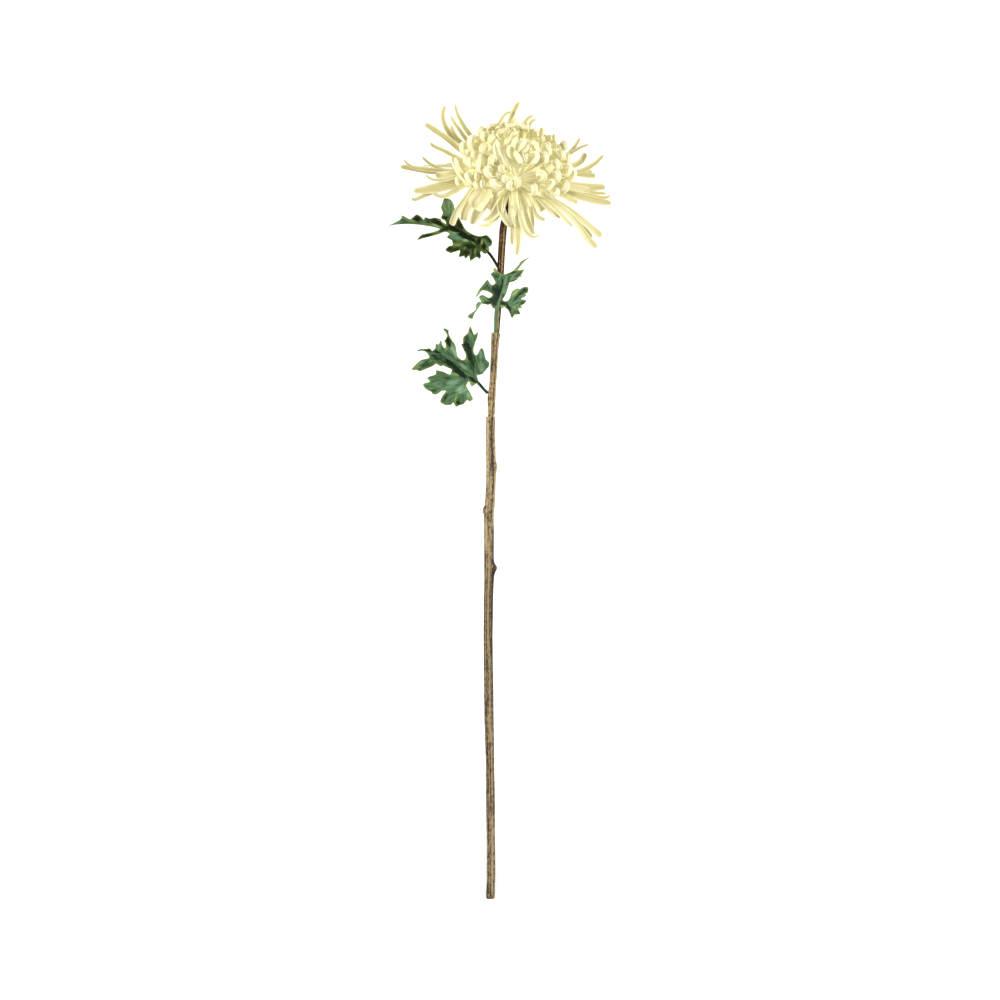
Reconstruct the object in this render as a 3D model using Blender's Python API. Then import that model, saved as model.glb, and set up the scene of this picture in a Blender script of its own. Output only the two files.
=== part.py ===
"""Cut chrysanthemum stem with one large ivory bloom and three lobed leaves, lying on a surface.

The flower is laid out upright in its own flower frame, in metres: +X to its right, +Y up the stem
from the cut end, +Z out of its front. An empty then lays the whole flower down: the stem runs along
world +Y, its front faces up (+Z), and it rests on its cut end and on the back of the bloom.
"""
import math
import random

import bmesh
import bpy
from mathutils import Matrix, Vector
from mathutils.geometry import delaunay_2d_cdt

MM = 0.001

# Scale and pose
STEM_LENGTH = 0.700                 # cut end to the topmost petal tip
PHOTO_CUT_END_Y = 899.0             # pixel row of the cut end in the 1000 px view
PHOTO_TOP_Y = 100.5                 # pixel row of the topmost petal tip
PHOTO_STEM_X = 490.0                # pixel column that the flower frame's origin stands on
PX = STEM_LENGTH / (PHOTO_CUT_END_Y - PHOTO_TOP_Y)
SLOPE = math.radians(3.5)           # the lying stem rises to the bloom by this angle

# Stem
STEM_SIDES = 16
STEM_RIDGES = 5                     # low lengthwise ridges round the woody lengths
RIDGE_HEIGHT = 0.22 * MM
FIT_GAP = 0.3 * MM                  # clearance between two pieces that touch

# Leaves
LEAF_THICKNESS = 0.8 * MM
LEAF_GRID = 5.0 * MM                # spacing of the points inside a blade
PETIOLE_SIDES = 6
RIB_STATIONS = 14
RIB_TIP_RADIUS = 0.55 * MM          # the petiole's tube runs on as the midrib and thins to this

# Bloom
DOME_CENTRE = (514.0, 178.0)        # pixel place of the middle of the incurved florets
DOME_DEPTH = 12.0                   # mm in front of the stem's middle plane
DOME_AXIS = Vector((0.13, 0.92, 0.36)).normalized()
DOME_RADIUS = 51.0 * MM             # to the middle of the outer hooks, across the axis
DOME_HEIGHT = 43.0 * MM             # the same, along the axis
CORE_SHARE = 0.62                   # size of the closed core against the dome
CORE_EDGE = math.radians(95.0)      # the core narrows to its foot below this angle from the axis
CORE_FOOT = math.radians(125.0)
CORE_FOOT_RADIUS = 13.0 * MM
CORE_FOOT_DROP = 8.0 * MM           # below the middle of the dome
CORE_SIDES = 14
CALYX_HEIGHT = 9.5 * MM
CALYX_NECK = 3.9 * MM               # radius round the stem
BRACTS = 13
BRACT_SWELL = 0.05                  # each bract stands out by this share of the radius
HOOK_COUNT = 92
HOOK_INNER = math.radians(26.0)     # angle from the axis of the innermost hooks
HOOK_OUTER = math.radians(97.0)     # and of the outermost ones
HOOK_DEPTH = 4.6 * MM               # a hooked tip stands out this far from its own middle
HOOK_CURL = math.radians(120.0)     # a hooked tip turns inwards to this angle from straight out
CROWN_COUNT = 26
CROWN_EDGE = math.radians(34.0)     # angle from the axis of the outermost crown florets
CROWN_DEPTH = 2.8 * MM
BACK_RAY_COUNT = 17
BACK_RAY_FROM = math.radians(78.0)  # the hidden rays are spread from this turn round the axis
BACK_RAY_SWEEP = math.radians(204.0)
GOLDEN_ANGLE = math.pi * (3.0 - math.sqrt(5.0))
FLORET_THICKNESS = 0.9 * MM
FLORET_ROOT = 2.4 * MM              # width of a hooked floret where it leaves the core
RAY_ROOT = 3.0 * MM                 # width of a long floret there
CUP = 0.16                          # how deep a hooked floret's channel is, as a share of its width
CROWN_KEEL = 0.2
RAY_CUP = 0.12
RAY_KEEL = 0.14
SEED = 15


def at(x, y, depth=0.0):
    """Flower-frame point seen at pixel (x, y), depth in mm towards the front."""
    return Vector(((x - PHOTO_STEM_X) * PX, (PHOTO_CUT_END_Y - y) * PX, depth * MM))


def path_at(places):
    return [at(*place) for place in places]


# Lying down
LOWEST_RADIUS = 3.98 * MM           # half the stem's thickness at the cut end
LAY = Matrix.Rotation(SLOPE, 4, "X")
LIFT = LOWEST_RADIUS * math.cos(SLOPE)
UP = LAY.inverted() @ Vector((0.0, 0.0, 1.0))
SOFT_REACH = 7.0 * MM               # florets start to bend this far above the surface


def height(point):
    return (LAY @ point).z + LIFT


def rest_on_surface(point):
    """Bend a point of a soft floret gently off the surface that the flower lies on."""
    high = height(point)
    if high >= SOFT_REACH:
        return point
    return point + UP * (SOFT_REACH * math.exp(high / SOFT_REACH - 1.0) - high)


def smooth_path(points, stations):
    """Even stations along a Catmull-Rom curve through the points."""
    ends = [points[0] * 2 - points[1]] + list(points) + [points[-1] * 2 - points[-2]]
    fine = []
    for a, b, c, d in zip(ends, ends[1:], ends[2:], ends[3:]):
        for step in range(12):
            t = step / 12
            fine.append(0.5 * (2 * b + (c - a) * t + (2 * a - 5 * b + 4 * c - d) * t * t
                               + (3 * b - a - 3 * c + d) * t ** 3))
    fine.append(points[-1])
    run = [0.0]
    for a, b in zip(fine, fine[1:]):
        run.append(run[-1] + (b - a).length)
    result = []
    spot = 0
    for k in range(stations):
        target = run[-1] * k / (stations - 1)
        while spot < len(run) - 2 and run[spot + 1] < target:
            spot += 1
        share = (target - run[spot]) / max(run[spot + 1] - run[spot], 1e-9)
        result.append(fine[spot].lerp(fine[spot + 1], min(share, 1.0)))
    return result


def tangents(points):
    result = []
    for k in range(len(points)):
        ahead = points[min(k + 1, len(points) - 1)]
        behind = points[max(k - 1, 0)]
        result.append((ahead - behind).normalized())
    return result


def carried(points, first):
    """Carry a direction along a path without twist; each result is square to the path there."""
    result = []
    for tangent in tangents(points):
        first = (first - tangent * first.dot(tangent)).normalized()
        result.append(first)
    return result


def material(name, colour, roughness):
    made = bpy.data.materials.new(name)
    made.use_nodes = True
    shader = made.node_tree.nodes["Principled BSDF"]
    shader.inputs["Base Color"].default_value = (*colour, 1.0)
    shader.inputs["Roughness"].default_value = roughness
    return made


def turn_faces_out(mesh):
    shape = bmesh.new()
    shape.from_mesh(mesh)
    bmesh.ops.recalc_face_normals(shape, faces=shape.faces)
    shape.to_mesh(mesh)
    shape.free()


def new_object(name, verts, faces, parent, finish=None):
    mesh = bpy.data.meshes.new(name)
    mesh.from_pydata(verts, [], faces)
    turn_faces_out(mesh)
    made = bpy.data.objects.new(name, mesh)
    bpy.context.scene.collection.objects.link(made)
    made.parent = parent
    if finish:
        mesh.materials.append(finish)
    mesh.update()
    return made


def tube(rings):
    """Closed solid through rings of points, each ring with the same number of points."""
    sides = len(rings[0])
    verts = [point for ring in rings for point in ring]
    faces = [list(range(sides))[::-1]]
    for k in range(len(rings) - 1):
        for i in range(sides):
            j = (i + 1) % sides
            faces.append([k * sides + i, k * sides + j, (k + 1) * sides + j, (k + 1) * sides + i])
    faces.append([(len(rings) - 1) * sides + i for i in range(sides)])
    return verts, faces


def round_rings(points, radii, sides, first=Vector((1.0, 0.0, 0.0)), ridges=0, ridge=0.0):
    """Rings round a path; ridges raises that many low waves round each ring."""
    rings = []
    for point, tangent, side, radius in zip(points, tangents(points), carried(points, first), radii):
        other = tangent.cross(side)
        ring = []
        for i in range(sides):
            angle = 2 * math.pi * i / sides
            wave = radius + ridge * math.cos(ridges * angle + 40.0 * point.y)
            ring.append(point + (side * math.cos(angle) + other * math.sin(angle)) * wave)
        rings.append(ring)
    return rings


def boolean(target, operation, other=None, collection=None, solver="EXACT"):
    """Cut or join and keep the result as the target's own mesh."""
    step = target.modifiers.new(operation.lower(), "BOOLEAN")
    step.operation = operation
    step.solver = solver
    if collection:
        step.operand_type = "COLLECTION"
        step.collection = collection
    else:
        step.object = other
    shape = bpy.data.meshes.new_from_object(target.evaluated_get(bpy.context.evaluated_depsgraph_get()))
    target.modifiers.clear()
    target.data = shape
    spent = list(collection.objects) if collection else [other]
    for piece in spent:
        bpy.data.objects.remove(piece)


def keep_outer_body(piece):
    """Keep the largest body: sealed hollows are filled and loose scraps dropped."""
    shape = bmesh.new()
    shape.from_mesh(piece.data)
    waiting = set(shape.verts)
    bodies = []
    while waiting:
        body = [waiting.pop()]
        for vert in body:
            for edge in vert.link_edges:
                other = edge.other_vert(vert)
                if other in waiting:
                    waiting.remove(other)
                    body.append(other)
        bodies.append(body)
    bodies.sort(key=len)
    bmesh.ops.delete(shape, geom=[vert for body in bodies[:-1] for vert in body], context="VERTS")
    shape.to_mesh(piece.data)
    shape.free()


for leftover in list(bpy.data.objects):
    bpy.data.objects.remove(leftover)

flower = bpy.data.objects.new("flower", None)
bpy.context.scene.collection.objects.link(flower)
flower.matrix_world = Matrix.Translation((0.0, 0.0, LIFT)) @ LAY
bpy.context.view_layer.update()


# Stem: each length is a row of (pixel row, pixel column of its middle, width in mm, depth in mm)
LOWER_LENGTH = [
    (899.0, 490.6, 7.0, 0.0), (897.0, 490.5, 8.2, 0.0), (880.0, 491.0, 7.5, 0.0),
    (840.0, 490.9, 7.4, 0.0), (800.0, 490.6, 7.7, 0.0), (760.0, 490.0, 7.3, 0.0),
    (720.0, 489.0, 8.0, 0.0), (680.0, 488.5, 8.1, 0.0), (640.0, 488.1, 7.9, 0.0),
    (600.0, 488.5, 8.1, 0.0), (578.0, 489.1, 9.0, 0.0), (567.0, 490.0, 10.6, 0.0),
    (557.0, 489.0, 8.7, 0.0), (532.0, 489.0, 8.7, 0.0), (518.0, 488.9, 8.8, 0.0),
    (511.5, 488.5, 9.8, 0.0), (505.0, 489.8, 9.0, 0.0), (480.0, 491.1, 8.7, 0.0),
    (466.0, 491.4, 9.4, 0.0), (456.0, 490.7, 8.6, 0.0), (432.0, 490.4, 8.2, 0.0),
    (419.5, 490.6, 8.3, 0.0), (417.0, 490.7, 7.9, 0.0)]
MIDDLE_LENGTH = [
    (427.0, 491.0, 4.4, 0.0), (417.0, 491.0, 4.4, 0.0), (416.1, 491.0, 5.8, 0.0),
    (405.0, 491.5, 6.0, 0.0), (396.0, 491.7, 6.7, 0.0), (387.0, 492.6, 5.8, 0.0),
    (370.0, 493.7, 5.9, 0.0), (352.0, 494.5, 6.0, 0.0), (340.0, 495.2, 6.9, 0.6),
    (334.0, 495.6, 7.6, 0.7), (333.0, 495.7, 7.4, 0.7)]
UPPER_LENGTH = [
    (343.0, 496.4, 3.6, -0.8), (333.0, 496.6, 3.6, -0.8), (332.2, 496.7, 4.8, -0.8),
    (318.0, 497.4, 5.3, -0.5), (300.0, 498.6, 5.6, -0.2), (280.0, 500.0, 5.7, 0.2),
    (265.0, 500.9, 5.8, 0.5), (245.0, 502.0, 6.0, 1.2), (228.0, 503.2, 6.1, 2.4),
    (214.0, 505.9, 5.4, 3.6), (204.0, 508.2, 5.0, 4.9), (193.4, 511.9, 4.6, 6.8)]
# Sockets: pixel column, pixel row of the floor, width in mm of the foot in it, depth in mm
MIDDLE_SOCKET = (491.0, 427.4, 4.4, 0.0)
UPPER_SOCKET = (496.4, 343.4, 3.6, -0.8)
PETIOLE_SOCKET = (495.3, 337.3, 2.6, 3.3)
COLLAR_ROWS = 11.0                    # pixel rows over which the upper collar widens to the front
COLLAR_SWELL = 0.32                   # share by which it is deeper to the front at its mouth


def stem_length(name, rows, finish, ridges=STEM_RIDGES):
    centres = [at(column, row, depth) for row, column, width, depth in rows]
    radii = [width * MM / 2 for row, column, width, depth in rows]
    rings = round_rings(centres, radii, STEM_SIDES, ridges=ridges, ridge=RIDGE_HEIGHT)
    verts, faces = tube(rings)
    made = new_object(name, verts, faces, flower, finish)
    made.data.shade_smooth()
    made.data.set_sharp_from_angle(angle=math.radians(40))
    return made


def socket(piece, column, row, width, depth, mouth_row):
    """Blind round hole that the foot of the next piece stands in."""
    radius = width * MM / 2 + FIT_GAP
    points = [at(column, row, depth), at(column, mouth_row - 4.0, depth)]
    verts, faces = tube(round_rings(points, [radius, radius], STEM_SIDES))
    cutter = new_object("socket_cutter", verts, faces, flower)
    cutter.hide_render = True
    cutter.display_type = "WIRE"
    bpy.context.view_layer.update()
    boolean(piece, "DIFFERENCE", cutter)


def make_stem():
    bark = material("bark", (0.45, 0.33, 0.19), 0.7)
    dark_bark = material("dark_bark", (0.10, 0.055, 0.03), 0.6)
    lower = stem_length("stem_lower", LOWER_LENGTH, bark)
    socket(lower, *MIDDLE_SOCKET, mouth_row=417.0)
    middle = stem_length("stem_middle", MIDDLE_LENGTH, bark)
    stretch_collar(middle)
    socket(middle, *UPPER_SOCKET, mouth_row=333.0)
    socket(middle, *PETIOLE_SOCKET, mouth_row=333.0)
    stem_length("stem_upper", UPPER_LENGTH, dark_bark)


def stretch_collar(piece):
    """The upper collar is oval: it holds a petiole in front of the next length."""
    foot = at(0.0, 333.0 + COLLAR_ROWS).y
    top = at(0.0, 333.0).y
    for vert in piece.data.vertices:
        share = min(max((vert.co.y - foot) / (top - foot), 0.0), 1.0)
        if vert.co.z > 0.0:
            vert.co.z *= 1.0 + COLLAR_SWELL * share


make_stem()


# Leaves: outlines run round each blade from its petiole, in pixels of the 1000 px view
LOWER_OUTLINE = [
    (478.5, 381), (477, 375.5), (482, 374.3), (486, 370), (489, 366), (489.2, 362.5), (485.7, 359),
    (483.7, 350.5), (481.5, 347.8), (479.8, 349.5), (478, 353.5), (476.5, 355.3), (474.5, 354),
    (473.5, 350), (475, 343), (477.5, 337), (477.9, 332.3), (474, 334.5), (471.5, 328),
    (470.2, 326.2), (468.8, 329), (468, 333), (464, 336.5), (462.7, 339), (463, 343.5),
    (461.2, 344.5), (463.5, 349.5), (465.7, 354), (465.2, 359), (462, 360), (457.5, 356.5),
    (456, 348), (455, 344.5), (450.5, 338), (448.5, 333), (448.8, 330.5), (445, 328.3),
    (443.2, 329.3), (447.3, 335), (445.5, 339.5), (444.2, 340.3), (446, 345), (445, 348.2),
    (441.8, 344.5), (441.8, 341.2), (440.5, 340.8), (438.5, 344.5), (435.8, 343.5), (435.2, 348),
    (432.2, 351), (430, 348.5), (425, 348.8), (419.5, 349.2), (416, 351.5), (422, 350.5),
    (426.5, 352.5), (429.3, 356.5), (428, 358.2), (421, 360), (415.5, 364.5), (411.5, 369.5),
    (417, 370), (419.3, 371.3), (424.5, 369.5), (433, 366), (436, 364), (441, 366.5),
    (443, 365.5), (446, 367), (451.5, 369.5), (450, 374.5), (444, 372), (436.5, 370.3),
    (435.5, 374.5), (429.5, 376.5), (427, 378.5), (430, 381.5), (424, 383.5), (423.2, 386),
    (427, 390), (431.5, 392), (432.5, 394), (436.5, 394.5), (442, 391), (446, 391), (442, 396.5),
    (440.2, 402), (445, 405), (451.5, 404.7), (453.2, 402.5), (456, 407), (460.3, 405),
    (463, 404.5), (467.5, 400), (469.5, 401.7), (473, 399), (470, 392.5), (466.3, 385.8),
    (469, 381.3), (471.5, 386.5), (476.5, 383.5)]
LOWER_RIB = [(487.7, 393.1), (484, 389.5), (480, 385), (476, 381), (465, 373), (452, 361.5),
             (440, 353.5), (430, 351), (419, 350.3)]

MIDDLE_OUTLINE = [
    (499.5, 307.5), (503, 308.2), (504, 306.8), (508.5, 310.5), (511, 316.5), (512.5, 318.2),
    (514.5, 315), (520.5, 314), (518.3, 309), (522.5, 308), (521, 306), (524, 304), (526.5, 300.5),
    (521, 299), (526, 296), (525.5, 294), (527.8, 292.7), (528.5, 287.5), (524, 286.8),
    (520, 289), (517, 288.5), (514, 290), (511.5, 292.5), (509.5, 299), (507.5, 301),
    (504.5, 301.2), (502.7, 299.5), (505.5, 295), (508, 288), (509.5, 283), (514, 281.3),
    (517, 279.5), (519.5, 277), (523, 276.8), (521, 275.5), (524.3, 269.3), (518, 270),
    (524, 262), (530.5, 256.3), (521, 261.3), (518.5, 265), (513.5, 270.5), (508, 273.3),
    (503.5, 274.5), (501, 274), (498, 271.5), (495, 268), (493, 270), (494, 271.5), (490.5, 274),
    (492, 276.5), (495.3, 282), (494.5, 284), (492, 285.3), (490.5, 284), (487.3, 279.8),
    (483, 284.5), (478.5, 290.5), (475.8, 296.5), (474, 299), (478.5, 295), (481.5, 291),
    (485, 290.7), (491.5, 293.5), (492.3, 295.5), (490.5, 297.3), (488, 297.8), (483, 295),
    (480, 295.9), (478.9, 297.6), (481, 302), (478, 302), (476.2, 304.5), (475.5, 310),
    (469, 314.5), (468, 317.5), (472.5, 319), (474, 314.5), (480, 306), (482, 303.8), (488, 305),
    (490.5, 304.5), (492, 306.5), (493.5, 308.5)]
MIDDLE_RIB = [(495.3, 336.6), (495.5, 328), (496, 320), (497.2, 308), (500, 298), (502.5, 290),
              (504.5, 283), (506, 277)]

UPPER_OUTLINE = [
    (489.5, 250), (488.7, 247), (491.5, 245.5), (492.3, 242), (491, 239), (486.5, 235),
    (480, 236.3), (473, 234.5), (466, 230), (462, 223.5), (458.8, 217), (456.5, 219.5),
    (455.5, 224), (453.8, 219), (454.5, 215), (455, 210), (453.5, 204), (451, 199.8),
    (448, 198.2), (444, 198.2), (442.3, 203), (441, 207.5), (442.8, 212.5), (441, 218),
    (445, 220.5), (446, 224), (442, 221.5), (440.5, 219), (435, 217.5), (429.5, 218.5),
    (425.3, 217), (423.5, 219.7), (421.3, 217), (416.5, 214.2), (410.3, 219), (404, 216),
    (400, 215.3), (402, 217), (399.5, 220), (393, 223.5), (387.8, 226.5), (394, 224.7),
    (408, 223.9), (420, 224.7), (432, 226.6), (440, 229), (435, 232), (428, 234), (421.5, 235.3),
    (417.2, 240), (424, 237.2), (436, 234), (445, 231.8), (449.5, 233.7), (447, 237.3),
    (452, 240.5), (452.5, 245.5), (449, 246.2), (445.3, 250.3), (451, 253.3), (460, 250.5),
    (458.7, 257), (464, 256.5), (465.5, 259), (469, 255.8), (470.3, 261.2), (475, 258),
    (477, 257.3), (479.5, 259), (481, 257), (480.5, 254), (481, 251.3), (485.5, 254)]
UPPER_RIB = [(496.3, 265), (493.5, 259.5), (490, 254.5), (486, 250.3), (475, 240), (465, 233),
             (455, 228), (445, 226), (435, 223.6), (422, 222.3), (408, 221.4)]


class Blade:
    """Depth of a leaf's surface: it leans, arches, folds at its rib and waves."""

    def __init__(self, rib, joint, depth, along, arch, across, fold, wave, wave_length):
        self.rib = [at(*place).to_2d() for place in rib]
        self.joint = joint          # index of the rib point where the petiole meets the blade
        self.base = self.rib[joint]
        self.axis = (self.rib[-1] - self.base).normalized()
        self.depth = depth * MM
        self.along = along
        self.arch = arch / MM
        self.across = across
        self.fold = fold
        self.wave = wave * MM
        self.wave_number = 2 * math.pi / (wave_length * MM)

    def off_rib(self, spot):
        nearest = 1.0
        for a, b in zip(self.rib[self.joint:], self.rib[self.joint + 1:]):
            run = b - a
            share = min(max((spot - a).dot(run) / run.length_squared, 0.0), 1.0)
            nearest = min(nearest, (spot - a - run * share).length)
        return nearest

    def point(self, spot):
        offset = spot - self.base
        forward = offset.dot(self.axis)
        side = offset.dot(Vector((-self.axis.y, self.axis.x)))
        crease = math.sqrt(self.off_rib(spot) ** 2 + (1.2 * MM) ** 2)
        deep = self.depth + self.along * forward + self.arch * forward * abs(forward)
        deep += self.across * side + self.fold * crease
        deep += self.wave * math.sin(self.wave_number * (forward + 0.6 * side))
        deep += 0.6 * self.wave * math.cos(self.wave_number * 1.7 * (side - 0.3 * forward))
        return Vector((spot.x, spot.y, deep))

    def normal(self, spot):
        step = 0.4 * MM
        run_x = self.point(spot + Vector((step, 0))) - self.point(spot - Vector((step, 0)))
        run_y = self.point(spot + Vector((0, step))) - self.point(spot - Vector((0, step)))
        return run_x.cross(run_y).normalized()


def inside(spot, outline):
    crossings = 0
    for a, b in zip(outline, outline[1:] + outline[:1]):
        if (a.y > spot.y) != (b.y > spot.y):
            if spot.x < a.x + (spot.y - a.y) / (b.y - a.y) * (b.x - a.x):
                crossings += 1
    return crossings % 2 == 1


def clear_of_edge(spot, outline, room):
    for a, b in zip(outline, outline[1:] + outline[:1]):
        run = b - a
        share = min(max((spot - a).dot(run) / run.length_squared, 0.0), 1.0)
        if (spot - a - run * share).length < room:
            return False
    return True


def leaf_blade(outline, blade):
    """Closed thin solid: the same triangles on both faces, joined round the edge."""
    edge = [at(*place).to_2d() for place in outline]
    spots = list(edge)
    low_x, high_x = min(p.x for p in edge), max(p.x for p in edge)
    low_y, high_y = min(p.y for p in edge), max(p.y for p in edge)
    row = 0
    y = low_y
    while y < high_y:
        x = low_x + (LEAF_GRID / 2 if row % 2 else 0.0)
        while x < high_x:
            spot = Vector((x, y))
            if inside(spot, edge) and clear_of_edge(spot, edge, LEAF_GRID * 0.35):
                spots.append(spot)
            x += LEAF_GRID
        y += LEAF_GRID * 0.866
        row += 1
    loop = [(k, (k + 1) % len(edge)) for k in range(len(edge))]
    flat, _, triangles, _, _, _ = delaunay_2d_cdt(spots, loop, [], 1, 1e-6)
    count = len(flat)
    front = [blade.point(spot) + blade.normal(spot) * LEAF_THICKNESS / 2 for spot in flat]
    back = [blade.point(spot) - blade.normal(spot) * LEAF_THICKNESS / 2 for spot in flat]
    faces = []
    open_edges = {}
    for triangle in triangles:
        a, b, c = triangle
        if (flat[b] - flat[a]).cross(flat[c] - flat[a]) < 0:
            b, c = c, b
        faces.append([a, b, c])
        faces.append([a + count, c + count, b + count])
        for start, end in ((a, b), (b, c), (c, a)):
            if (end, start) in open_edges:
                del open_edges[(end, start)]
            else:
                open_edges[(start, end)] = True
    for start, end in open_edges:
        faces.append([start, start + count, end + count])
        faces.append([start, end + count, end])
    return front + back, faces


def make_leaf(name, outline, blade, rib, petiole_depths, foot_radius, colour):
    finish = material(name + "_green", colour, 0.55)
    verts, faces = leaf_blade(outline, blade)
    leaf = new_object(name, verts, faces, flower, finish)
    points = []
    for k, place in enumerate(rib):
        if k < blade.joint:
            points.append(at(*place, petiole_depths[k]))
        else:
            points.append(blade.point(at(*place).to_2d()))
    stations = smooth_path(points, RIB_STATIONS)
    radii = [foot_radius + (RIB_TIP_RADIUS - foot_radius) * k / (RIB_STATIONS - 1)
             for k in range(RIB_STATIONS)]
    verts, faces = tube(round_rings(stations, radii, PETIOLE_SIDES, Vector((0.0, 0.0, 1.0))))
    stalk = new_object("stalk", verts, faces, flower)
    bpy.context.view_layer.update()
    boolean(leaf, "UNION", stalk, solver="MANIFOLD")
    return leaf


LOWER_BLADE = Blade(LOWER_RIB, joint=3, depth=4.0, along=0.05, arch=-0.0030, across=-0.10,
                    fold=0.20, wave=1.3, wave_length=34.0)
MIDDLE_BLADE = Blade(MIDDLE_RIB, joint=3, depth=11.0, along=0.30, arch=-0.0150, across=0.05,
                     fold=-0.30, wave=1.1, wave_length=30.0)
UPPER_BLADE = Blade(UPPER_RIB, joint=3, depth=6.0, along=-0.08, arch=-0.0010, across=0.62,
                    fold=0.15, wave=1.5, wave_length=32.0)

make_leaf("leaf_lower", LOWER_OUTLINE, LOWER_BLADE, LOWER_RIB, (1.2, 2.2, 3.2), 1.1 * MM,
          (0.10, 0.21, 0.10))
make_leaf("leaf_middle", MIDDLE_OUTLINE, MIDDLE_BLADE, MIDDLE_RIB, (3.3, 3.7, 5.6), 1.2 * MM,
          (0.17, 0.31, 0.16))
make_leaf("leaf_upper", UPPER_OUTLINE, UPPER_BLADE, UPPER_RIB, (1.5, 3.0, 4.6), 1.0 * MM,
          (0.06, 0.13, 0.06))


# Bloom frame: its axis leans to the front and a little to the right
CENTRE = at(*DOME_CENTRE, DOME_DEPTH)
FRONT = (Vector((0, 0, 1)) - DOME_AXIS * DOME_AXIS.z).normalized()
RIGHT = DOME_AXIS.cross(FRONT)


def dome(polar, turn, share=1.0):
    """Point of the dome's ellipsoid: polar from the axis, turn from the front to the right."""
    out = FRONT * math.cos(turn) + RIGHT * math.sin(turn)
    across = out * DOME_RADIUS * math.sin(polar)
    return CENTRE + (across + DOME_AXIS * DOME_HEIGHT * math.cos(polar)) * share


def core(polar, turn, share=1.0):
    """Point of the closed core: a smaller dome that narrows below to a flat foot on the calyx."""
    if polar <= CORE_EDGE:
        return dome(polar, turn, CORE_SHARE * share)
    edge = dome(CORE_EDGE, turn, CORE_SHARE) - CENTRE
    out = FRONT * math.cos(turn) + RIGHT * math.sin(turn)
    foot = out * CORE_FOOT_RADIUS - DOME_AXIS * CORE_FOOT_DROP
    return CENTRE + edge.lerp(foot, (polar - CORE_EDGE) / (CORE_FOOT - CORE_EDGE)) * share


def dome_angles(point):
    """Polar and turn angles of the dome's ray through a point."""
    offset = point - CENTRE
    high = offset.dot(DOME_AXIS) / DOME_HEIGHT
    forward = offset.dot(FRONT) / DOME_RADIUS
    right = offset.dot(RIGHT) / DOME_RADIUS
    return math.atan2(math.hypot(forward, right), high), math.atan2(right, forward)


def dome_front(x, y):
    """Front point of the dome seen at pixel (x, y)."""
    start = at(x, y)
    near, far = DOME_DEPTH * MM, 2.0 * DOME_RADIUS
    if depth_share(start, near) >= 1.0:
        return start + Vector((0, 0, near))
    for _ in range(30):
        middle = (near + far) / 2
        if depth_share(start, middle) < 1.0:
            near = middle
        else:
            far = middle
    return start + Vector((0, 0, near))


def depth_share(start, depth):
    """Below 1 inside the dome, 1 on it."""
    offset = Vector((start.x, start.y, depth)) - CENTRE
    high = offset.dot(DOME_AXIS) / DOME_HEIGHT
    across = (offset - DOME_AXIS * offset.dot(DOME_AXIS)).length / DOME_RADIUS
    return math.hypot(high, across)


def hook_path(knob, half_length, half_depth, lean, curl, rises, turns):
    """Path of an incurved floret: out of the core, then over a rounded tip and back inwards.

    rises and turns are the numbers of stations below the tip and round it.
    """
    polar, turn = dome_angles(knob)
    out = (dome(polar, turn) - CENTRE).normalized()
    up = DOME_AXIS - out * DOME_AXIS.dot(out)
    up = up.normalized() if up.length > 0.05 else -FRONT
    up = Matrix.Rotation(lean, 3, out) @ up
    start = knob - up * half_length
    root = core(min(polar + 0.30, CORE_FOOT - 0.3), turn, 0.93)
    reach = (start - root).length
    path = []
    for k in range(rises):
        t = k / rises
        h1, h2 = 2 * t ** 3 - 3 * t * t + 1, t ** 3 - 2 * t * t + t
        h3, h4 = 3 * t * t - 2 * t ** 3, t ** 3 - t * t
        away = (root - CENTRE).normalized()
        path.append(root * h1 + away * reach * 0.9 * h2 + start * h3 + out * reach * 0.9 * h4)
    for k in range(turns):
        angle = math.radians(-90.0) + (curl + math.radians(90.0)) * k / (turns - 1)
        path.append(knob + out * half_depth * math.cos(angle) + up * half_length * math.sin(angle))
    return [rest_on_surface(point) for point in path], up.cross(out).normalized()


def floret(path, side, widths, cup, keel):
    """Closed three-sided blade: its channel opens to the inner side, its keel is the outer side."""
    rings = []
    for point, tangent, across, width in zip(path, tangents(path), carried(path, side), widths):
        outer = across.cross(tangent)
        ring = [point - across * width / 2 - outer * cup * width,
                point + across * width / 2 - outer * cup * width,
                point + outer * max(keel * width, FLORET_THICKNESS)]
        rings.append([lifted(corner) for corner in ring])
    verts, faces = tube(rings)
    return verts, faces


def lifted(point):
    low = height(point)
    return point - UP * low if low < 0.0 else point


def swell(count, root, belly, tip, peak=0.62):
    """Widths along a floret: narrow root, widest at peak, rounded tip."""
    widths = []
    for k in range(count):
        t = k / (count - 1)
        if t < peak:
            widths.append(root + (belly - root) * math.sin(t / peak * math.pi / 2))
        else:
            widths.append(tip + (belly - tip) * math.cos((t - peak) / (1 - peak) * math.pi / 2) ** 0.7)
    return widths


def hook_widths(width):
    """Widths of an incurved floret at its six stations, from its root to its rounded tip."""
    return [FLORET_ROOT, FLORET_ROOT * 1.42, width * 0.75, width, width * 0.95, width * 0.6]


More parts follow.
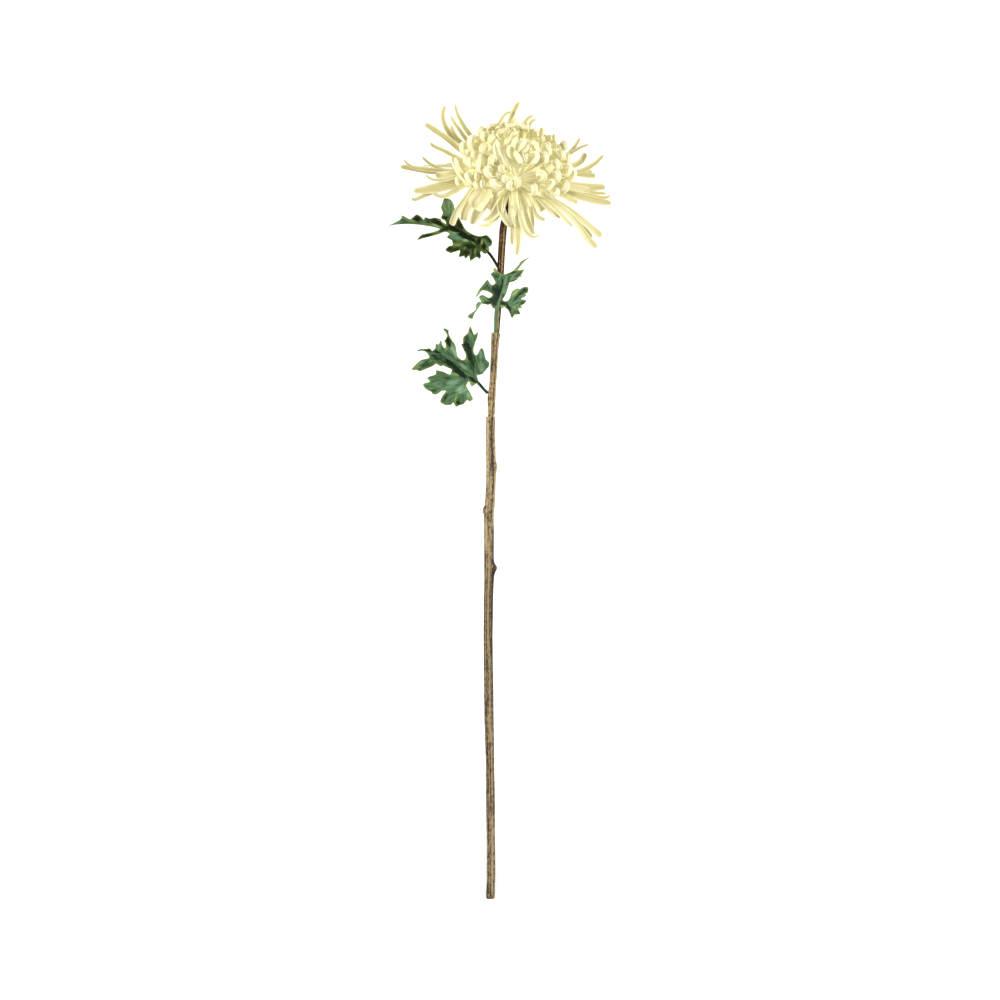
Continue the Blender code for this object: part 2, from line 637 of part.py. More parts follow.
# Hooked tips that show on the front of the dome:
# pixel column and row, width in mm, half length in mm, lean in degrees, mm below the dome
FRONT_HOOKS = [
    (543, 176, 9.5, 5.2, -10, 0), (534.5, 189.5, 9.0, 5.6, 5, 0), (548, 186.5, 9.5, 5.2, 20, 0),
    (558, 174, 8.4, 7.4, 10, 0), (565.5, 188.5, 9.6, 5.6, 25, 0), (561.5, 196, 6.2, 4.4, 10, 2),
    (530, 163.5, 10.2, 6.4, -15, 0), (546, 157.5, 7.0, 7.0, 5, 2), (537.5, 149, 6.6, 7.4, -20, 2),
    (549.5, 149, 6.2, 7.0, -25, 1), (518.5, 160, 7.4, 7.8, -35, 1), (513.5, 144.5, 7.0, 6.2, 15, 2),
    (521.5, 146, 7.0, 7.0, 10, 1), (562, 155.5, 8.0, 5.2, 0, 1), (559, 164, 6.2, 4.4, 0, 3),
    (571, 166.5, 7.0, 5.2, 10, 0), (575, 176.5, 9.4, 6.4, 25, 0), (516, 183.5, 7.4, 6.2, 0, 1),
    (508.5, 186, 7.0, 6.2, 10, 2), (504, 178, 8.0, 5.6, -5, 0), (501, 168, 8.4, 5.2, -20, 0),
    (493, 186, 9.4, 6.4, -25, 0), (486, 176, 8.0, 6.2, -30, 0), (482.5, 184.5, 6.0, 5.2, 0, 3),
    (476, 169, 6.6, 9.8, -5, 0), (489.5, 160.5, 9.6, 7.0, 0, 0), (498, 148, 7.4, 10.4, -20, 1),
    (508, 156, 6.6, 9.6, -10, 2), (480, 147, 7.0, 7.8, -10, 2), (489.5, 140, 10.0, 5.6, 20, 0),
    (470, 143, 9.6, 8.2, -10, 0), (459, 148, 7.8, 7.4, -20, 0), (455, 161, 7.8, 7.0, -25, 0),
    (467, 165, 7.8, 7.0, -30, 1), (461, 170, 7.2, 5.2, -30, 0), (466, 179, 7.0, 6.6, -30, 0),
    (457, 182, 7.8, 5.2, -20, 0), (479, 133, 7.0, 7.0, 0, 0),
    (515, 171, 7.0, 9.6, -10, 12), (522, 176, 7.0, 11.2, 5, 13), (529, 179, 7.0, 11.2, 20, 13),
    (536, 181, 7.0, 9.6, 35, 12), (541, 168, 8.0, 7.0, 10, 10), (552, 164, 7.0, 6.2, 0, 9)]
HOOK_ROOM = 9.6 * MM                # other hooks keep this far from a placed one

# Long florets that show round the dome: width in mm, then (pixel column, row, depth in mm) from
# where each comes out of the dome to its tip
RAYS = [
    (5.2, (452, 173, 6), (430, 171, 4), (414, 168.6, 3), (401, 167.3, 3)),
    (3.4, (450, 172, -2), (427, 168.5, -4), (411, 166.5, -6), (403.4, 159.5, -8)),
    (3.8, (455, 172, -6), (441, 168.5, -8), (428, 162.5, -10), (421.8, 157, -10)),
    (3.6, (458, 158, -12), (444, 150.5, -14), (434, 146, -15), (429.8, 142, -15)),
    (6.0, (460, 149, -18), (449, 139.5, -20), (436, 130.5, -22), (425, 123.3, -22)),
    (5.0, (462, 146, -24), (448, 131, -27), (442.3, 116, -30), (444.6, 104.5, -30)),
    (4.2, (474, 140, -30), (464, 126, -33), (457, 112.5, -35), (455, 103, -36)),
    (3.6, (468, 141, -26), (460, 130, -29), (453.5, 120.5, -30), (450.6, 114.5, -30)),
    (4.2, (466, 147, -20), (457, 138, -24), (453, 130.5, -25), (450.9, 125, -25)),
    (7.4, (470, 181, 14), (450, 186, 12), (430, 189.4, 10), (414, 191.3, 8)),
    (3.8, (452, 188, 8), (432, 193.5, 5), (418, 198.8, 3), (411.6, 198.6, 3)),
    (3.4, (458, 177, 18), (444, 180.3, 16), (432, 179.8, 14), (425.6, 175.6, 12)),
    (5.0, (468, 184.5, 24), (455, 192, 24), (443, 197, 22), (431.8, 193.9, 20)),
    (6.0, (463, 178, 12), (450, 177.5, 12), (441, 177, 10), (435.5, 175.5, 10)),
    (6.6, (474, 191, 32), (464, 203, 33), (455.5, 213.5, 32), (452, 225.5, 30)),
    (6.4, (480, 194, 36), (472, 206, 38), (467, 214, 37), (464.6, 220.4, 36)),
    (7.6, (486, 194, 40), (480, 206, 42), (474.5, 216, 41), (470.6, 224, 40)),
    (4.8, (500, 199, 42), (497, 209, 46), (490, 218, 46), (482.8, 220.8, 44)),
    (4.8, (504, 200, 44), (500, 212, 48), (492, 223.5, 48), (478.8, 226.6, 45)),
    (6.4, (497, 194, 38), (495, 203, 42), (493.5, 212, 42)),
    (7.6, (503, 197, 46), (503.5, 210, 50), (507, 221, 50), (513.6, 228.6, 48)),
    (3.6, (508, 200, 40), (510, 216, 44), (510.8, 232, 44), (512, 245.2, 42)),
    (5.2, (512, 200, 44), (515, 222, 48), (518.2, 240, 48), (517, 255.8, 44)),
    (4.6, (517, 200, 46), (520, 216, 52), (526, 232, 52), (533, 237.3, 49), (540.6, 234.8, 47)),
    (6.6, (521, 198, 46), (524, 212, 50), (527.5, 224, 50), (533, 234.6, 46)),
    (6.6, (513, 198, 48), (515, 210, 53), (516.5, 222, 52), (517.2, 229, 50)),
    (7.0, (526, 197, 42), (528.5, 210, 45), (530.4, 221, 44), (531.2, 228.5, 42)),
    (5.0, (527, 196, 40), (532, 209, 43), (537, 217, 42), (544.4, 220.6, 40)),
    (6.6, (526, 194, 40), (533, 201, 42), (538.5, 207, 42), (542.4, 211.4, 40)),
    (5.0, (541, 196, 36), (558, 207, 38), (577, 221, 36), (595, 233.5, 33), (601.5, 237.6, 32)),
    (5.0, (540, 197, 38), (554, 209, 40), (571, 223.5, 38), (588, 240, 34), (596.3, 248.3, 33)),
    (5.0, (538, 197, 40), (547, 206, 42), (560, 217, 40), (571.2, 227.6, 38)),
    (4.2, (536, 198, 41), (543, 206, 43), (552, 213, 42), (559.6, 218.2, 40)),
    (6.0, (556, 194, 24), (566, 198.5, 24), (577, 203.4, 22)),
    (6.4, (556, 191, 20), (575, 195.5, 20), (594, 200.5, 17), (611, 203.7, 14)),
    (4.6, (560, 190, 14), (578, 194, 12), (596, 197, 9), (610.4, 196, 7)),
    (4.0, (560, 188, 8), (577, 191, 6), (593, 193, 4), (606, 193.9, 3)),
    (8.0, (558, 185, 6), (576, 187.5, 4), (592, 188.4, 2), (605, 188.6, 0)),
    (5.4, (562, 172, -4), (576, 173.6, -7), (587, 175.2, -9), (595.4, 175.8, -10)),
    (3.6, (562, 171, -8), (575, 172.8, -11), (585, 172.8, -13), (592, 171.2, -14)),
    (4.0, (562, 173, -2), (579, 171.5, -6), (592, 165.5, -9), (601.2, 157.5, -11), (603.2, 154.2, -11)),
    (5.2, (558, 170, -14), (573, 166, -17), (582, 160.5, -20), (585.6, 153, -21)),
    (3.8, (556, 163, -24), (568, 154.5, -28), (579, 148, -30), (589.2, 144, -31)),
    (3.8, (553, 165, -28), (567, 155, -31), (574.5, 146.5, -33), (580.4, 137, -34)),
    (3.8, (505, 135, -26), (509, 123, -31), (513.5, 112, -34), (519.3, 101.5, -35)),
    (2.8, (493, 134, -24), (500, 122, -29), (505.5, 114, -31), (512, 111.5, -32)),
    (4.0, (520, 136, -22), (523, 127, -26), (527.5, 119, -28), (533.2, 115, -28)),
    (3.6, (523, 137, -20), (526, 129, -24), (530, 121.5, -26), (535.6, 118, -26))]
SHOWN_FACE = DOME_AXIS * 0.4 + Vector((0.0, 0.0, 1.0))   # the channels of these rays face this way
RAY_START = (math.radians(98.0), math.radians(112.0))   # rays leave the core between these angles


def add_floret(collection, verts, faces):
    piece = new_object("floret", verts, faces, flower)
    bpy.context.scene.collection.objects.unlink(piece)
    collection.objects.link(piece)


def placed_hooks():
    result = []
    for column, row, width, half_length, lean, below in FRONT_HOOKS:
        knob = dome_front(column, row)
        knob -= (knob - CENTRE).normalized() * below * MM
        result.append((knob, width * MM, half_length * MM, math.radians(-lean)))
    return result


def ruled_hooks(draw, taken):
    """Hooks over the rest of the dome, turned by the golden angle, spread evenly by area."""
    result = []
    for k in range(HOOK_COUNT):
        share = (k + 0.5) / HOOK_COUNT
        level = math.cos(HOOK_INNER) + (math.cos(HOOK_OUTER) - math.cos(HOOK_INNER)) * share
        polar = math.acos(level)
        turn = k * GOLDEN_ANGLE
        knob = dome(polar, turn, 1.0 + draw.uniform(-0.08, 0.03))
        width = (6.2 + 2.6 * min(share * 2.0, 1.0)) * MM * draw.uniform(0.85, 1.15)
        half_length = draw.uniform(4.6, 7.6) * MM
        lean = draw.uniform(-0.45, 0.45)
        if all((knob - other[0]).length > HOOK_ROOM for other in taken):
            result.append((knob, width, half_length, lean))
    return result


def crown_hooks(draw):
    """Small curled florets that stand round the top of the dome."""
    result = []
    for k in range(CROWN_COUNT):
        share = (k + 0.5) / CROWN_COUNT
        polar = CROWN_EDGE * math.sqrt(share)
        knob = dome(polar, k * GOLDEN_ANGLE, 1.0 + draw.uniform(-0.02, 0.13))
        result.append((knob, draw.uniform(3.6, 5.4) * MM, draw.uniform(2.6, 4.6) * MM,
                       draw.uniform(-1.2, 1.2)))
    return result


def ray_path(places, stations):
    """A long floret from the core through its placed points."""
    points = path_at(places)
    polar, turn = dome_angles(points[0])
    root = core(min(max(polar, RAY_START[0]), RAY_START[1]), turn, 0.93)
    path = smooth_path([root] + points, stations)
    return [rest_on_surface(point) for point in path]


def back_rays(draw):
    """Hidden long florets under the lying bloom, bent along the surface it rests on."""
    result = []
    for k in range(BACK_RAY_COUNT):
        turn = BACK_RAY_FROM + BACK_RAY_SWEEP * (k + 0.5) / BACK_RAY_COUNT
        polar = draw.uniform(*RAY_START)
        out = (dome(polar, turn) - CENTRE).normalized()
        length = draw.uniform(52.0, 62.0) * MM
        root = core(polar, turn, 0.93)
        bend = (RIGHT * draw.uniform(-0.5, 0.5) - DOME_AXIS * draw.uniform(0.0, 0.6)) * length
        points = [root, root + out * length * 0.4, root + out * length * 0.7 + bend * 0.25,
                  root + out * length * 0.85 + bend * 0.6]
        path = [rest_on_surface(point) for point in smooth_path(points, 5)]
        result.append((path, draw.uniform(4.2, 6.0) * MM))
    return result


def make_core():
    polars = [math.radians(angle) for angle in (8, 30, 52, 74)] + [CORE_EDGE, CORE_FOOT]
    turns = [2 * math.pi * i / CORE_SIDES for i in range(CORE_SIDES)]
    return tube([[core(polar, turn) for turn in turns] for polar in polars])


def make_calyx():
    """Green cup of bracts that carries the bloom; the top of the stem stands in its neck."""
    green = material("calyx_green", (0.13, 0.22, 0.08), 0.6)
    sides = 2 * BRACTS
    rings = []
    for share in (0.0, 0.25, 0.5, 0.75, 0.93, 1.0):
        rise = CORE_FOOT_DROP + FIT_GAP + CALYX_HEIGHT * (1.0 - share)
        radius = CALYX_NECK + (CORE_FOOT_RADIUS - CALYX_NECK) * math.sin(share * math.pi / 2) ** 0.8
        ring = []
        for i in range(sides):
            angle = 2 * math.pi * i / sides
            out = FRONT * math.cos(angle) + RIGHT * math.sin(angle)
            swollen = radius * (1.0 + BRACT_SWELL * share * math.cos(BRACTS * angle))
            ring.append(CENTRE + out * swollen - DOME_AXIS * rise)
        rings.append(ring)
    calyx = new_object("calyx", *tube(rings), flower, green)
    row, column, width, depth = UPPER_LENGTH[-1]
    before = at(UPPER_LENGTH[-2][1], UPPER_LENGTH[-2][0], UPPER_LENGTH[-2][3])
    top = at(column, row, depth)
    run = (top - before).normalized()
    radius = UPPER_LENGTH[-2][2] * MM / 2 + FIT_GAP
    ends = [before - run * 4.0 * MM, top + run * FIT_GAP]
    cutter = new_object("socket_cutter", *tube(round_rings(ends, [radius, radius], STEM_SIDES)), flower)
    cutter.hide_render = True
    cutter.display_type = "WIRE"
    bpy.context.view_layer.update()
    boolean(calyx, "DIFFERENCE", cutter)


def make_bloom():
    ivory = material("ivory_petal", (0.86, 0.78, 0.47), 0.55)
    draw = random.Random(SEED)
    florets = bpy.data.collections.new("florets")
    bpy.context.scene.collection.children.link(florets)
    taken = placed_hooks()
    hooks = taken + ruled_hooks(draw, taken)
    for knob, width, half_length, lean in hooks:
        path, side = hook_path(knob, half_length, HOOK_DEPTH, lean, HOOK_CURL, 2, 4)
        add_floret(florets, *floret(path, side, hook_widths(width), CUP, CUP))
    for knob, width, half_length, lean in crown_hooks(draw):
        path, side = hook_path(knob, half_length, CROWN_DEPTH, lean, HOOK_CURL, 1, 4)
        widths = swell(5, FLORET_ROOT, width, width * 0.6)
        add_floret(florets, *floret(path, side, widths, CUP, CROWN_KEEL))
    for width, *places in RAYS:
        path = ray_path(places, 6)
        face = (SHOWN_FACE + RIGHT * draw.uniform(-0.4, 0.4)).normalized()
        side = (path[-1] - path[0]).cross(face)
        widths = swell(6, RAY_ROOT, width * MM, width * MM * 0.5, 0.5)
        add_floret(florets, *floret(path, side, widths, RAY_CUP, RAY_KEEL))
    for path, width in back_rays(draw):
        side = (path[1] - path[0]).cross(DOME_AXIS)
        widths = swell(5, RAY_ROOT, width, width * 0.5, 0.5)
        add_floret(florets, *floret(path, side, widths, RAY_CUP, RAY_KEEL))
    bloom = new_object("bloom", *make_core(), flower, ivory)
    bpy.context.view_layer.update()
    boolean(bloom, "UNION", collection=florets, solver="MANIFOLD")
    bpy.data.collections.remove(florets)
    keep_outer_body(bloom)
    return bloom


def centre_on_origin():
    """The origin lies on the surface, under the middle of the whole flower's box."""
    bpy.context.view_layer.update()
    corners = []
    for piece in flower.children:
        corners += [piece.matrix_world @ vert.co for vert in piece.data.vertices]
    for axis in (0, 1):
        places = [corner[axis] for corner in corners]
        flower.location[axis] -= (min(places) + max(places)) / 2


make_calyx()
make_bloom()
centre_on_origin()
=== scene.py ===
"""Looks of one cut chrysanthemum that lies on a pale surface: a woody stem in three lengths, three
lobed leaves, a calyx and one large ivory bloom. Each piece is laid out upright in the flower's own
frame (X to its right, Y up the stem, Z out of its front) and then laid down with the whole flower.
"""
import math
import random

import bpy
import numpy as np
from mathutils import Matrix, noise
from mathutils.geometry import delaunay_2d_cdt


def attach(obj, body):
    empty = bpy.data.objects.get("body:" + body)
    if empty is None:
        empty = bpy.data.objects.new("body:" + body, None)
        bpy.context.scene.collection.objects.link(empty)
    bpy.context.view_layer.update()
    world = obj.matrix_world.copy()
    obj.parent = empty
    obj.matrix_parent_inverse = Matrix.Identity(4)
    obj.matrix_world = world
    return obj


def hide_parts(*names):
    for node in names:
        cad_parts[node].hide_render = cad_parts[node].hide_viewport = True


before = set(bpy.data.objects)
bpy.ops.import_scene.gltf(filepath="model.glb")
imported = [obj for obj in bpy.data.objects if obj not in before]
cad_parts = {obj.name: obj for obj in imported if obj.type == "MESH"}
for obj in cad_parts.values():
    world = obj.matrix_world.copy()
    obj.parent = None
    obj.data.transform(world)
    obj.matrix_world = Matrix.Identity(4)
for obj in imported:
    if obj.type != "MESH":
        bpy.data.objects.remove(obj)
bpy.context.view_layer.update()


# Lower length of the stem. A woody shoot with a dry, ribbed bark, cut square at both ends; its top
# is a collar that the middle length is pushed into. A side bud was broken off at one knot, and two
# more knots stand a little proud of it.
MM = 0.001
PX = 0.700 / (899.0 - 100.5)            # one pixel of the 1000 px view, for a stem 0.70 m long
STEM_COLUMN, CUT_ROW = 490.0, 899.0     # pixel place of the flower frame's origin, at the cut end
SLOPE = math.radians(3.5)               # the lying stem rises to the bloom by this angle
LAID_AT = (-8.2761 * MM, -350.0145 * MM, 3.9726 * MM)
LAID = Matrix.Translation(LAID_AT) @ Matrix.Rotation(SLOPE, 4, "X")
BARK_SIDES = 64
BARK_STEP = 1.3                         # pixel rows between two rings of the bark
RIM_DEPTH = 3.0 * MM                    # how far a collar is open at its top
COLLAR_WALL = 0.9 * MM
GROOVE_DEPTH, RIDGE_HEIGHT = 0.32 * MM, 0.08 * MM
TO_FRONT = np.array([0.0, 0.0, 1.0])    # out of the flower's front

# Pixel row, pixel column of its middle, width in mm, depth in mm
LOWER_LENGTH = [
    (899, 490.6, 5.6, 0), (897.8, 490.6, 7.4, 0), (896, 490.5, 8.1, 0), (880, 491, 7.5, 0),
    (840, 490.9, 7.4, 0), (800, 490.6, 7.7, 0), (760, 490, 7.3, 0), (720, 489, 8, 0),
    (680, 488.5, 8.1, 0), (640, 488.1, 7.9, 0), (600, 488.5, 8.1, 0), (578, 489, 8.6, 0),
    (567, 489.1, 8.6, 0), (557, 489, 8.5, 0), (532, 489, 8.6, 0), (518, 488.9, 8.6, 0),
    (511.5, 489, 8.8, 0), (505, 489.8, 8.8, 0), (480, 491.1, 8.6, 0), (466, 491.3, 8.8, 0),
    (456, 490.7, 8.6, 0), (432, 490.4, 8.2, 0), (419.5, 490.6, 8.3, 0), (417, 490.7, 8, 0)]
# Streaks of the bark run straight along it: angle from the front to the right and half width in
# degrees, tone from -1 (a dark groove, partly painted shade) to 1 (a rubbed, golden ridge), from row,
# to row. The dark streaks at the far left and right sides and round the back are painted shade.
LOWER_STREAKS = [
    (16, 11, -0.85, 478, 417), (-38, 20, 0.35, 478, 417), (-10, 3, -0.5, 478, 417),
    (62, 9, 0.25, 478, 417), (24, 7, -0.9, 524, 474), (-20, 3, -0.7, 519, 470), (-46, 4, -0.5, 530, 484),
    (56, 9, 0.7, 522, 462), (2, 4, -0.4, 545, 490), (-32, 10, 0.4, 552, 500), (-26, 7, 0.6, 560, 524),
    (6, 8, 0.35, 560, 520), (-10, 3, -0.7, 575, 520), (58, 22, -0.8, 562, 530), (-48, 5, -0.9, 760, 552),
    (-22, 4, -0.9, 715, 572), (-35, 5, 0.35, 700, 566), (-3, 8, 0.8, 652, 540), (14, 4, -0.5, 640, 575),
    (50, 20, -1, 662, 570), (-8, 3, -0.7, 716, 655), (12, 8, 0.6, 742, 640), (34, 4, -0.6, 742, 655),
    (60, 12, -0.7, 755, 650), (-28, 5, -0.8, 770, 700), (24, 9, 0.45, 800, 728), (4, 5, -0.9, 820, 745),
    (-24, 3, -0.8, 826, 746), (-12, 6, 0.3, 836, 740), (-40, 6, -0.9, 845, 750), (42, 7, -0.8, 830, 752),
    (-30, 5, -0.8, 899, 820), (-8, 4, -0.7, 899, 828), (21, 10, 0.6, 899, 815), (44, 6, -0.5, 899, 838),
    (-50, 20, -1.1, 904, 886), (2, 14, -0.9, 904, 891), (30, 7, -0.6, 902, 884), (0, 60, 0.2, 512, 476),
    (82, 13, -0.9, 899, 417), (-80, 14, -0.8, 899, 417), (120, 12, -0.8, 899, 417),
    (160, 10, -0.8, 899, 417), (-115, 12, -0.8, 899, 417), (-150, 10, -0.8, 899, 417)]
# How much darker the skin is painted along the length: pixel rows and shares
LOWER_DARKENING = [(417, 530, 575, 640, 720, 820, 899), (0, 0.15, 0.32, 0.36, 0.26, 0.24, 0.17)]
# Row, angle, height in mm, half length in mm, half width in degrees
LOWER_KNOTS = [
    (510, -78, 1.7, 2.6, 30), (516, -30, 0.5, 2.6, 26), (567.5, 84, 2.5, 3.4, 27), (563, 62, 1, 2.4, 20),
    (466, 74, 0.9, 4.5, 32), (596, 50, 0.4, 1.2, 16), (897, -60, 0.3, 3, 40), (584, 33, 0.3, 0.8, 9)]
# The broken bud left these pits: row, angle, depth in mm, half length in mm, half width in degrees
LOWER_PITS = [
    (561, 54, 1.7, 2.2, 15), (569.5, 42, 0.9, 1.3, 9), (506.5, -50, 0.6, 0.9, 12), (458, 22, 0.5, 3.5, 9)]


def at(x, y, depth=0.0):
    """Point of the upright flower seen at pixel (x, y), depth in mm towards its front."""
    return np.array([(x - STEM_COLUMN) * PX, (CUT_ROW - y) * PX, depth * MM])


def laid(points):
    """The same points once the flower lies on the surface."""
    turn = np.array(LAID.to_3x3())
    return np.asarray(points, float).reshape(-1, 3) @ turn.T + np.array(LAID.translation)


def seen_at(points):
    """Pixel column and row at which points of the upright flower are seen."""
    return STEM_COLUMN + points[..., 0] / PX, CUT_ROW - points[..., 1] / PX


def unit(vectors):
    return vectors / np.maximum(np.linalg.norm(vectors, axis=-1, keepdims=True), 1e-12)


def tangents(path):
    return unit(np.vstack([path[1:], path[-1:]]) - np.vstack([path[:1], path[:-1]]))


def carried(path, first):
    """A direction carried along a path without twist, square to it at each station."""
    result = []
    for tangent in tangents(path):
        first = unit(first - tangent * first.dot(tangent))
        result.append(first)
    return np.array(result)


def round_angles(count):
    return np.linspace(0, 2 * math.pi, count, endpoint=False)


def tube(path, side, other, radii, count, flatten=1.0):
    """Rings of points round a path, in two directions square to it, flattened along the first."""
    turn = round_angles(count)
    return (path[:, None] + side[:, None] * (np.cos(turn) * radii * flatten)[..., None]
            + other[:, None] * (np.sin(turn) * radii)[..., None])


def ring_faces(rings, around, start=0):
    """Faces of a closed skin over rings of points, with one flat face at each end."""
    k = np.arange(rings - 1)[:, None] * around + start
    i = np.arange(around)[None, :]
    j = (i + 1) % around
    quads = np.stack([k + i, k + j, k + around + j, k + around + i], -1).reshape(-1, 4).tolist()
    last = start + (rings - 1) * around
    return quads + [list(range(start, start + around))[::-1], list(range(last, last + around))]


def put(name, data):
    """An object of the scene for a mesh, a lamp or a camera."""
    made = bpy.data.objects.new(name, data)
    bpy.context.scene.collection.objects.link(made)
    return made


def grown(name, points, faces, finish, node=None, marks=None):
    """One piece of the flower; marks are numbers at each point that its finish reads."""
    mesh = bpy.data.meshes.new(name)
    mesh.from_pydata(laid(points).tolist(), [], faces)
    mesh.update()
    mesh.shade_smooth()
    for mark, values in (marks or {}).items():
        layer = mesh.attributes.new(mark, "FLOAT", "POINT")
        layer.data.foreach_set("value", np.asarray(values, np.float32).ravel())
    mesh.materials.append(finish)
    made = put(name, mesh)
    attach(made, "root")
    if node:
        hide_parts(node)


def colour(code):
    """Linear colour from an sRGB hex value."""
    parts = [int(code[k:k + 2], 16) / 255 for k in (0, 2, 4)]
    return (*[c / 12.92 if c <= 0.04045 else ((c + 0.055) / 1.055) ** 2.4 for c in parts], 1.0)


# Place of the output that a node is used for, where that isn't its first
MAIN_OUTPUT = {"Attribute": 2, "Mix": 2, "TexCoord": 3}


def wire(material, node, inputs):
    """Sets the inputs of a node: each gets a value, or a link from the output that is given."""
    for name, value in inputs.items():
        if isinstance(value, bpy.types.NodeSocket):
            material.node_tree.links.new(value, node.inputs[name])
        else:
            node.inputs[name].default_value = value


def add(material, kind, inputs=None, stops=None, **settings):
    """Adds one node with its settings and links, and gives back its main output."""
    made = material.node_tree.nodes.new("ShaderNode" + kind)
    for name, value in settings.items():
        setattr(made, name, value)
    wire(material, made, inputs or {})
    for k, (place, code) in enumerate(stops or []):
        elements = made.color_ramp.elements
        stop = elements[k] if k < 2 else elements.new(place)
        stop.position = place
        stop.color = colour(code)
    return made.outputs[MAIN_OUTPUT.get(kind, 0)]


def new_material(name):
    material = bpy.data.materials.new(name)
    material.use_nodes = True
    return material, material.node_tree.nodes["Principled BSDF"]


def relief(rows, angles, streaks, knots, pits, seed):
    """How far the bark stands proud of a plain round stem, in metres, its tone and how torn it is."""
    proud = np.zeros((len(rows), len(angles)))
    tone, torn = np.zeros_like(proud), np.zeros_like(proud)
    row, angle = rows[:, None], np.degrees(angles)[None, :]
    for centre, spread, amount, start, end in streaks:
        off = (angle - centre - 1.5 * np.sin(row / 31.0 + centre) + 180.0) % 360.0 - 180.0
        fade = np.clip((start - row) / 10.0, 0, 1) * np.clip((row - end) / 6.0 + 0.6, 0, 1)
        streak = amount * np.exp(-(off / spread) ** 2) * fade
        tone += streak
        proud += np.where(streak < 0, GROOVE_DEPTH, RIDGE_HEIGHT) * streak
    for group, sign in ((knots, 1.0), (pits, -1.0)):
        for centre_row, centre, high, long, spread in group:
            off = (angle - centre + 180.0) % 360.0 - 180.0
            along = (row - centre_row) * PX / (long * MM)
            swell = np.exp(-(off / spread) ** 2 - np.where(along > 0, 0.45, 1.6) * along ** 2)
            proud += sign * high * MM * swell
            torn = np.maximum(torn, swell * 0.6)
            # The pits are painted darker, as painted shade in them
            tone += min(sign, 0.0) * 1.6 * swell
    for k, y in enumerate(rows):
        for i, a in enumerate(angles):
            place = (math.cos(a) * 1.7 + seed, math.sin(a) * 1.7, y * 0.03)
            fine = (math.cos(a) * 6.5, math.sin(a) * 6.5 + seed, y * 0.05)
            grain = noise.noise(place) * 0.16 + noise.noise(fine) * 0.14
            proud[k, i] += grain * (1.0 + 2.5 * torn[k, i]) * MM
    return proud, tone, torn


def woody_length(node, lengths, streaks, darkening, knots, pits, finish, seed, mouth=0.0, swell=None):
    """A length of stem; mouth is the depth of the open collar at its top, swell widens its front."""
    table = np.array(lengths)[::-1]
    rows = np.arange(table[-1, 0], table[0, 0], -BARK_STEP)
    rows = np.append(rows, table[0, 0])
    columns, widths, depths = [np.interp(rows, table[:, 0], table[:, k]) for k in (1, 2, 3)]
    for values in (columns, widths, depths):
        values[3:-3] = (values[1:-5] + values[2:-4] + values[3:-3] + values[4:-2] + values[5:-1]) / 5
    proud, tone, torn = relief(rows, round_angles(BARK_SIDES), streaks, knots, pits, seed)
    path = np.array([at(c, r, d) for c, r, d in zip(columns, rows, depths)])
    side = carried(path, TO_FRONT)
    other = np.cross(tangents(path), side)
    radius = widths[:, None] * MM / 2 + proud + 0.2 * MM * np.clip((885.0 - rows) / 12.0, 0, 1)[:, None]
    if mouth:
        rim = proud[-1:] * 0.4
        inner = radius[-1:] - COLLAR_WALL + rim
        radius = np.vstack([radius, radius[-1:] - 0.25 * MM, inner, inner - 0.1 * MM])
        sunk = np.array([[0, 0.25 * MM, 0], [0, -0.15 * MM, 0], [0, -mouth, 0]])
        path = np.vstack([path, path[-1:] + sunk])
        side, other = [np.vstack([v, v[-1:], v[-1:], v[-1:]]) for v in (side, other)]
        torn = np.vstack([torn, torn[-1:] + 0.2, torn[-1:] + 0.4, torn[-1:]])
        # The inside of the open collar is painted darker, as painted shade
        tone = np.vstack([tone, tone[-1:] + 0.3, tone[-1:] - 0.6, tone[-1:] - 2.0])
        rows = np.append(rows, rows[-1:].repeat(3))
    points = tube(path, side, other, radius, BARK_SIDES)
    if swell:
        share = np.clip((swell[0] - seen_at(points)[1]) / (swell[0] - swell[1]), 0, 1)
        points[..., 2] = np.where(points[..., 2] > 0, points[..., 2] * (1 + swell[2] * share), points[..., 2])
    marks = {"tone": np.clip(tone, -1.2, 1.0), "torn": np.clip(torn, 0, 0.8),
             "darkening": np.broadcast_to(np.interp(rows, *darkening)[:, None], radius.shape)}
    grown(node + "_bark", points, ring_faces(*radius.shape), finish, node, marks)


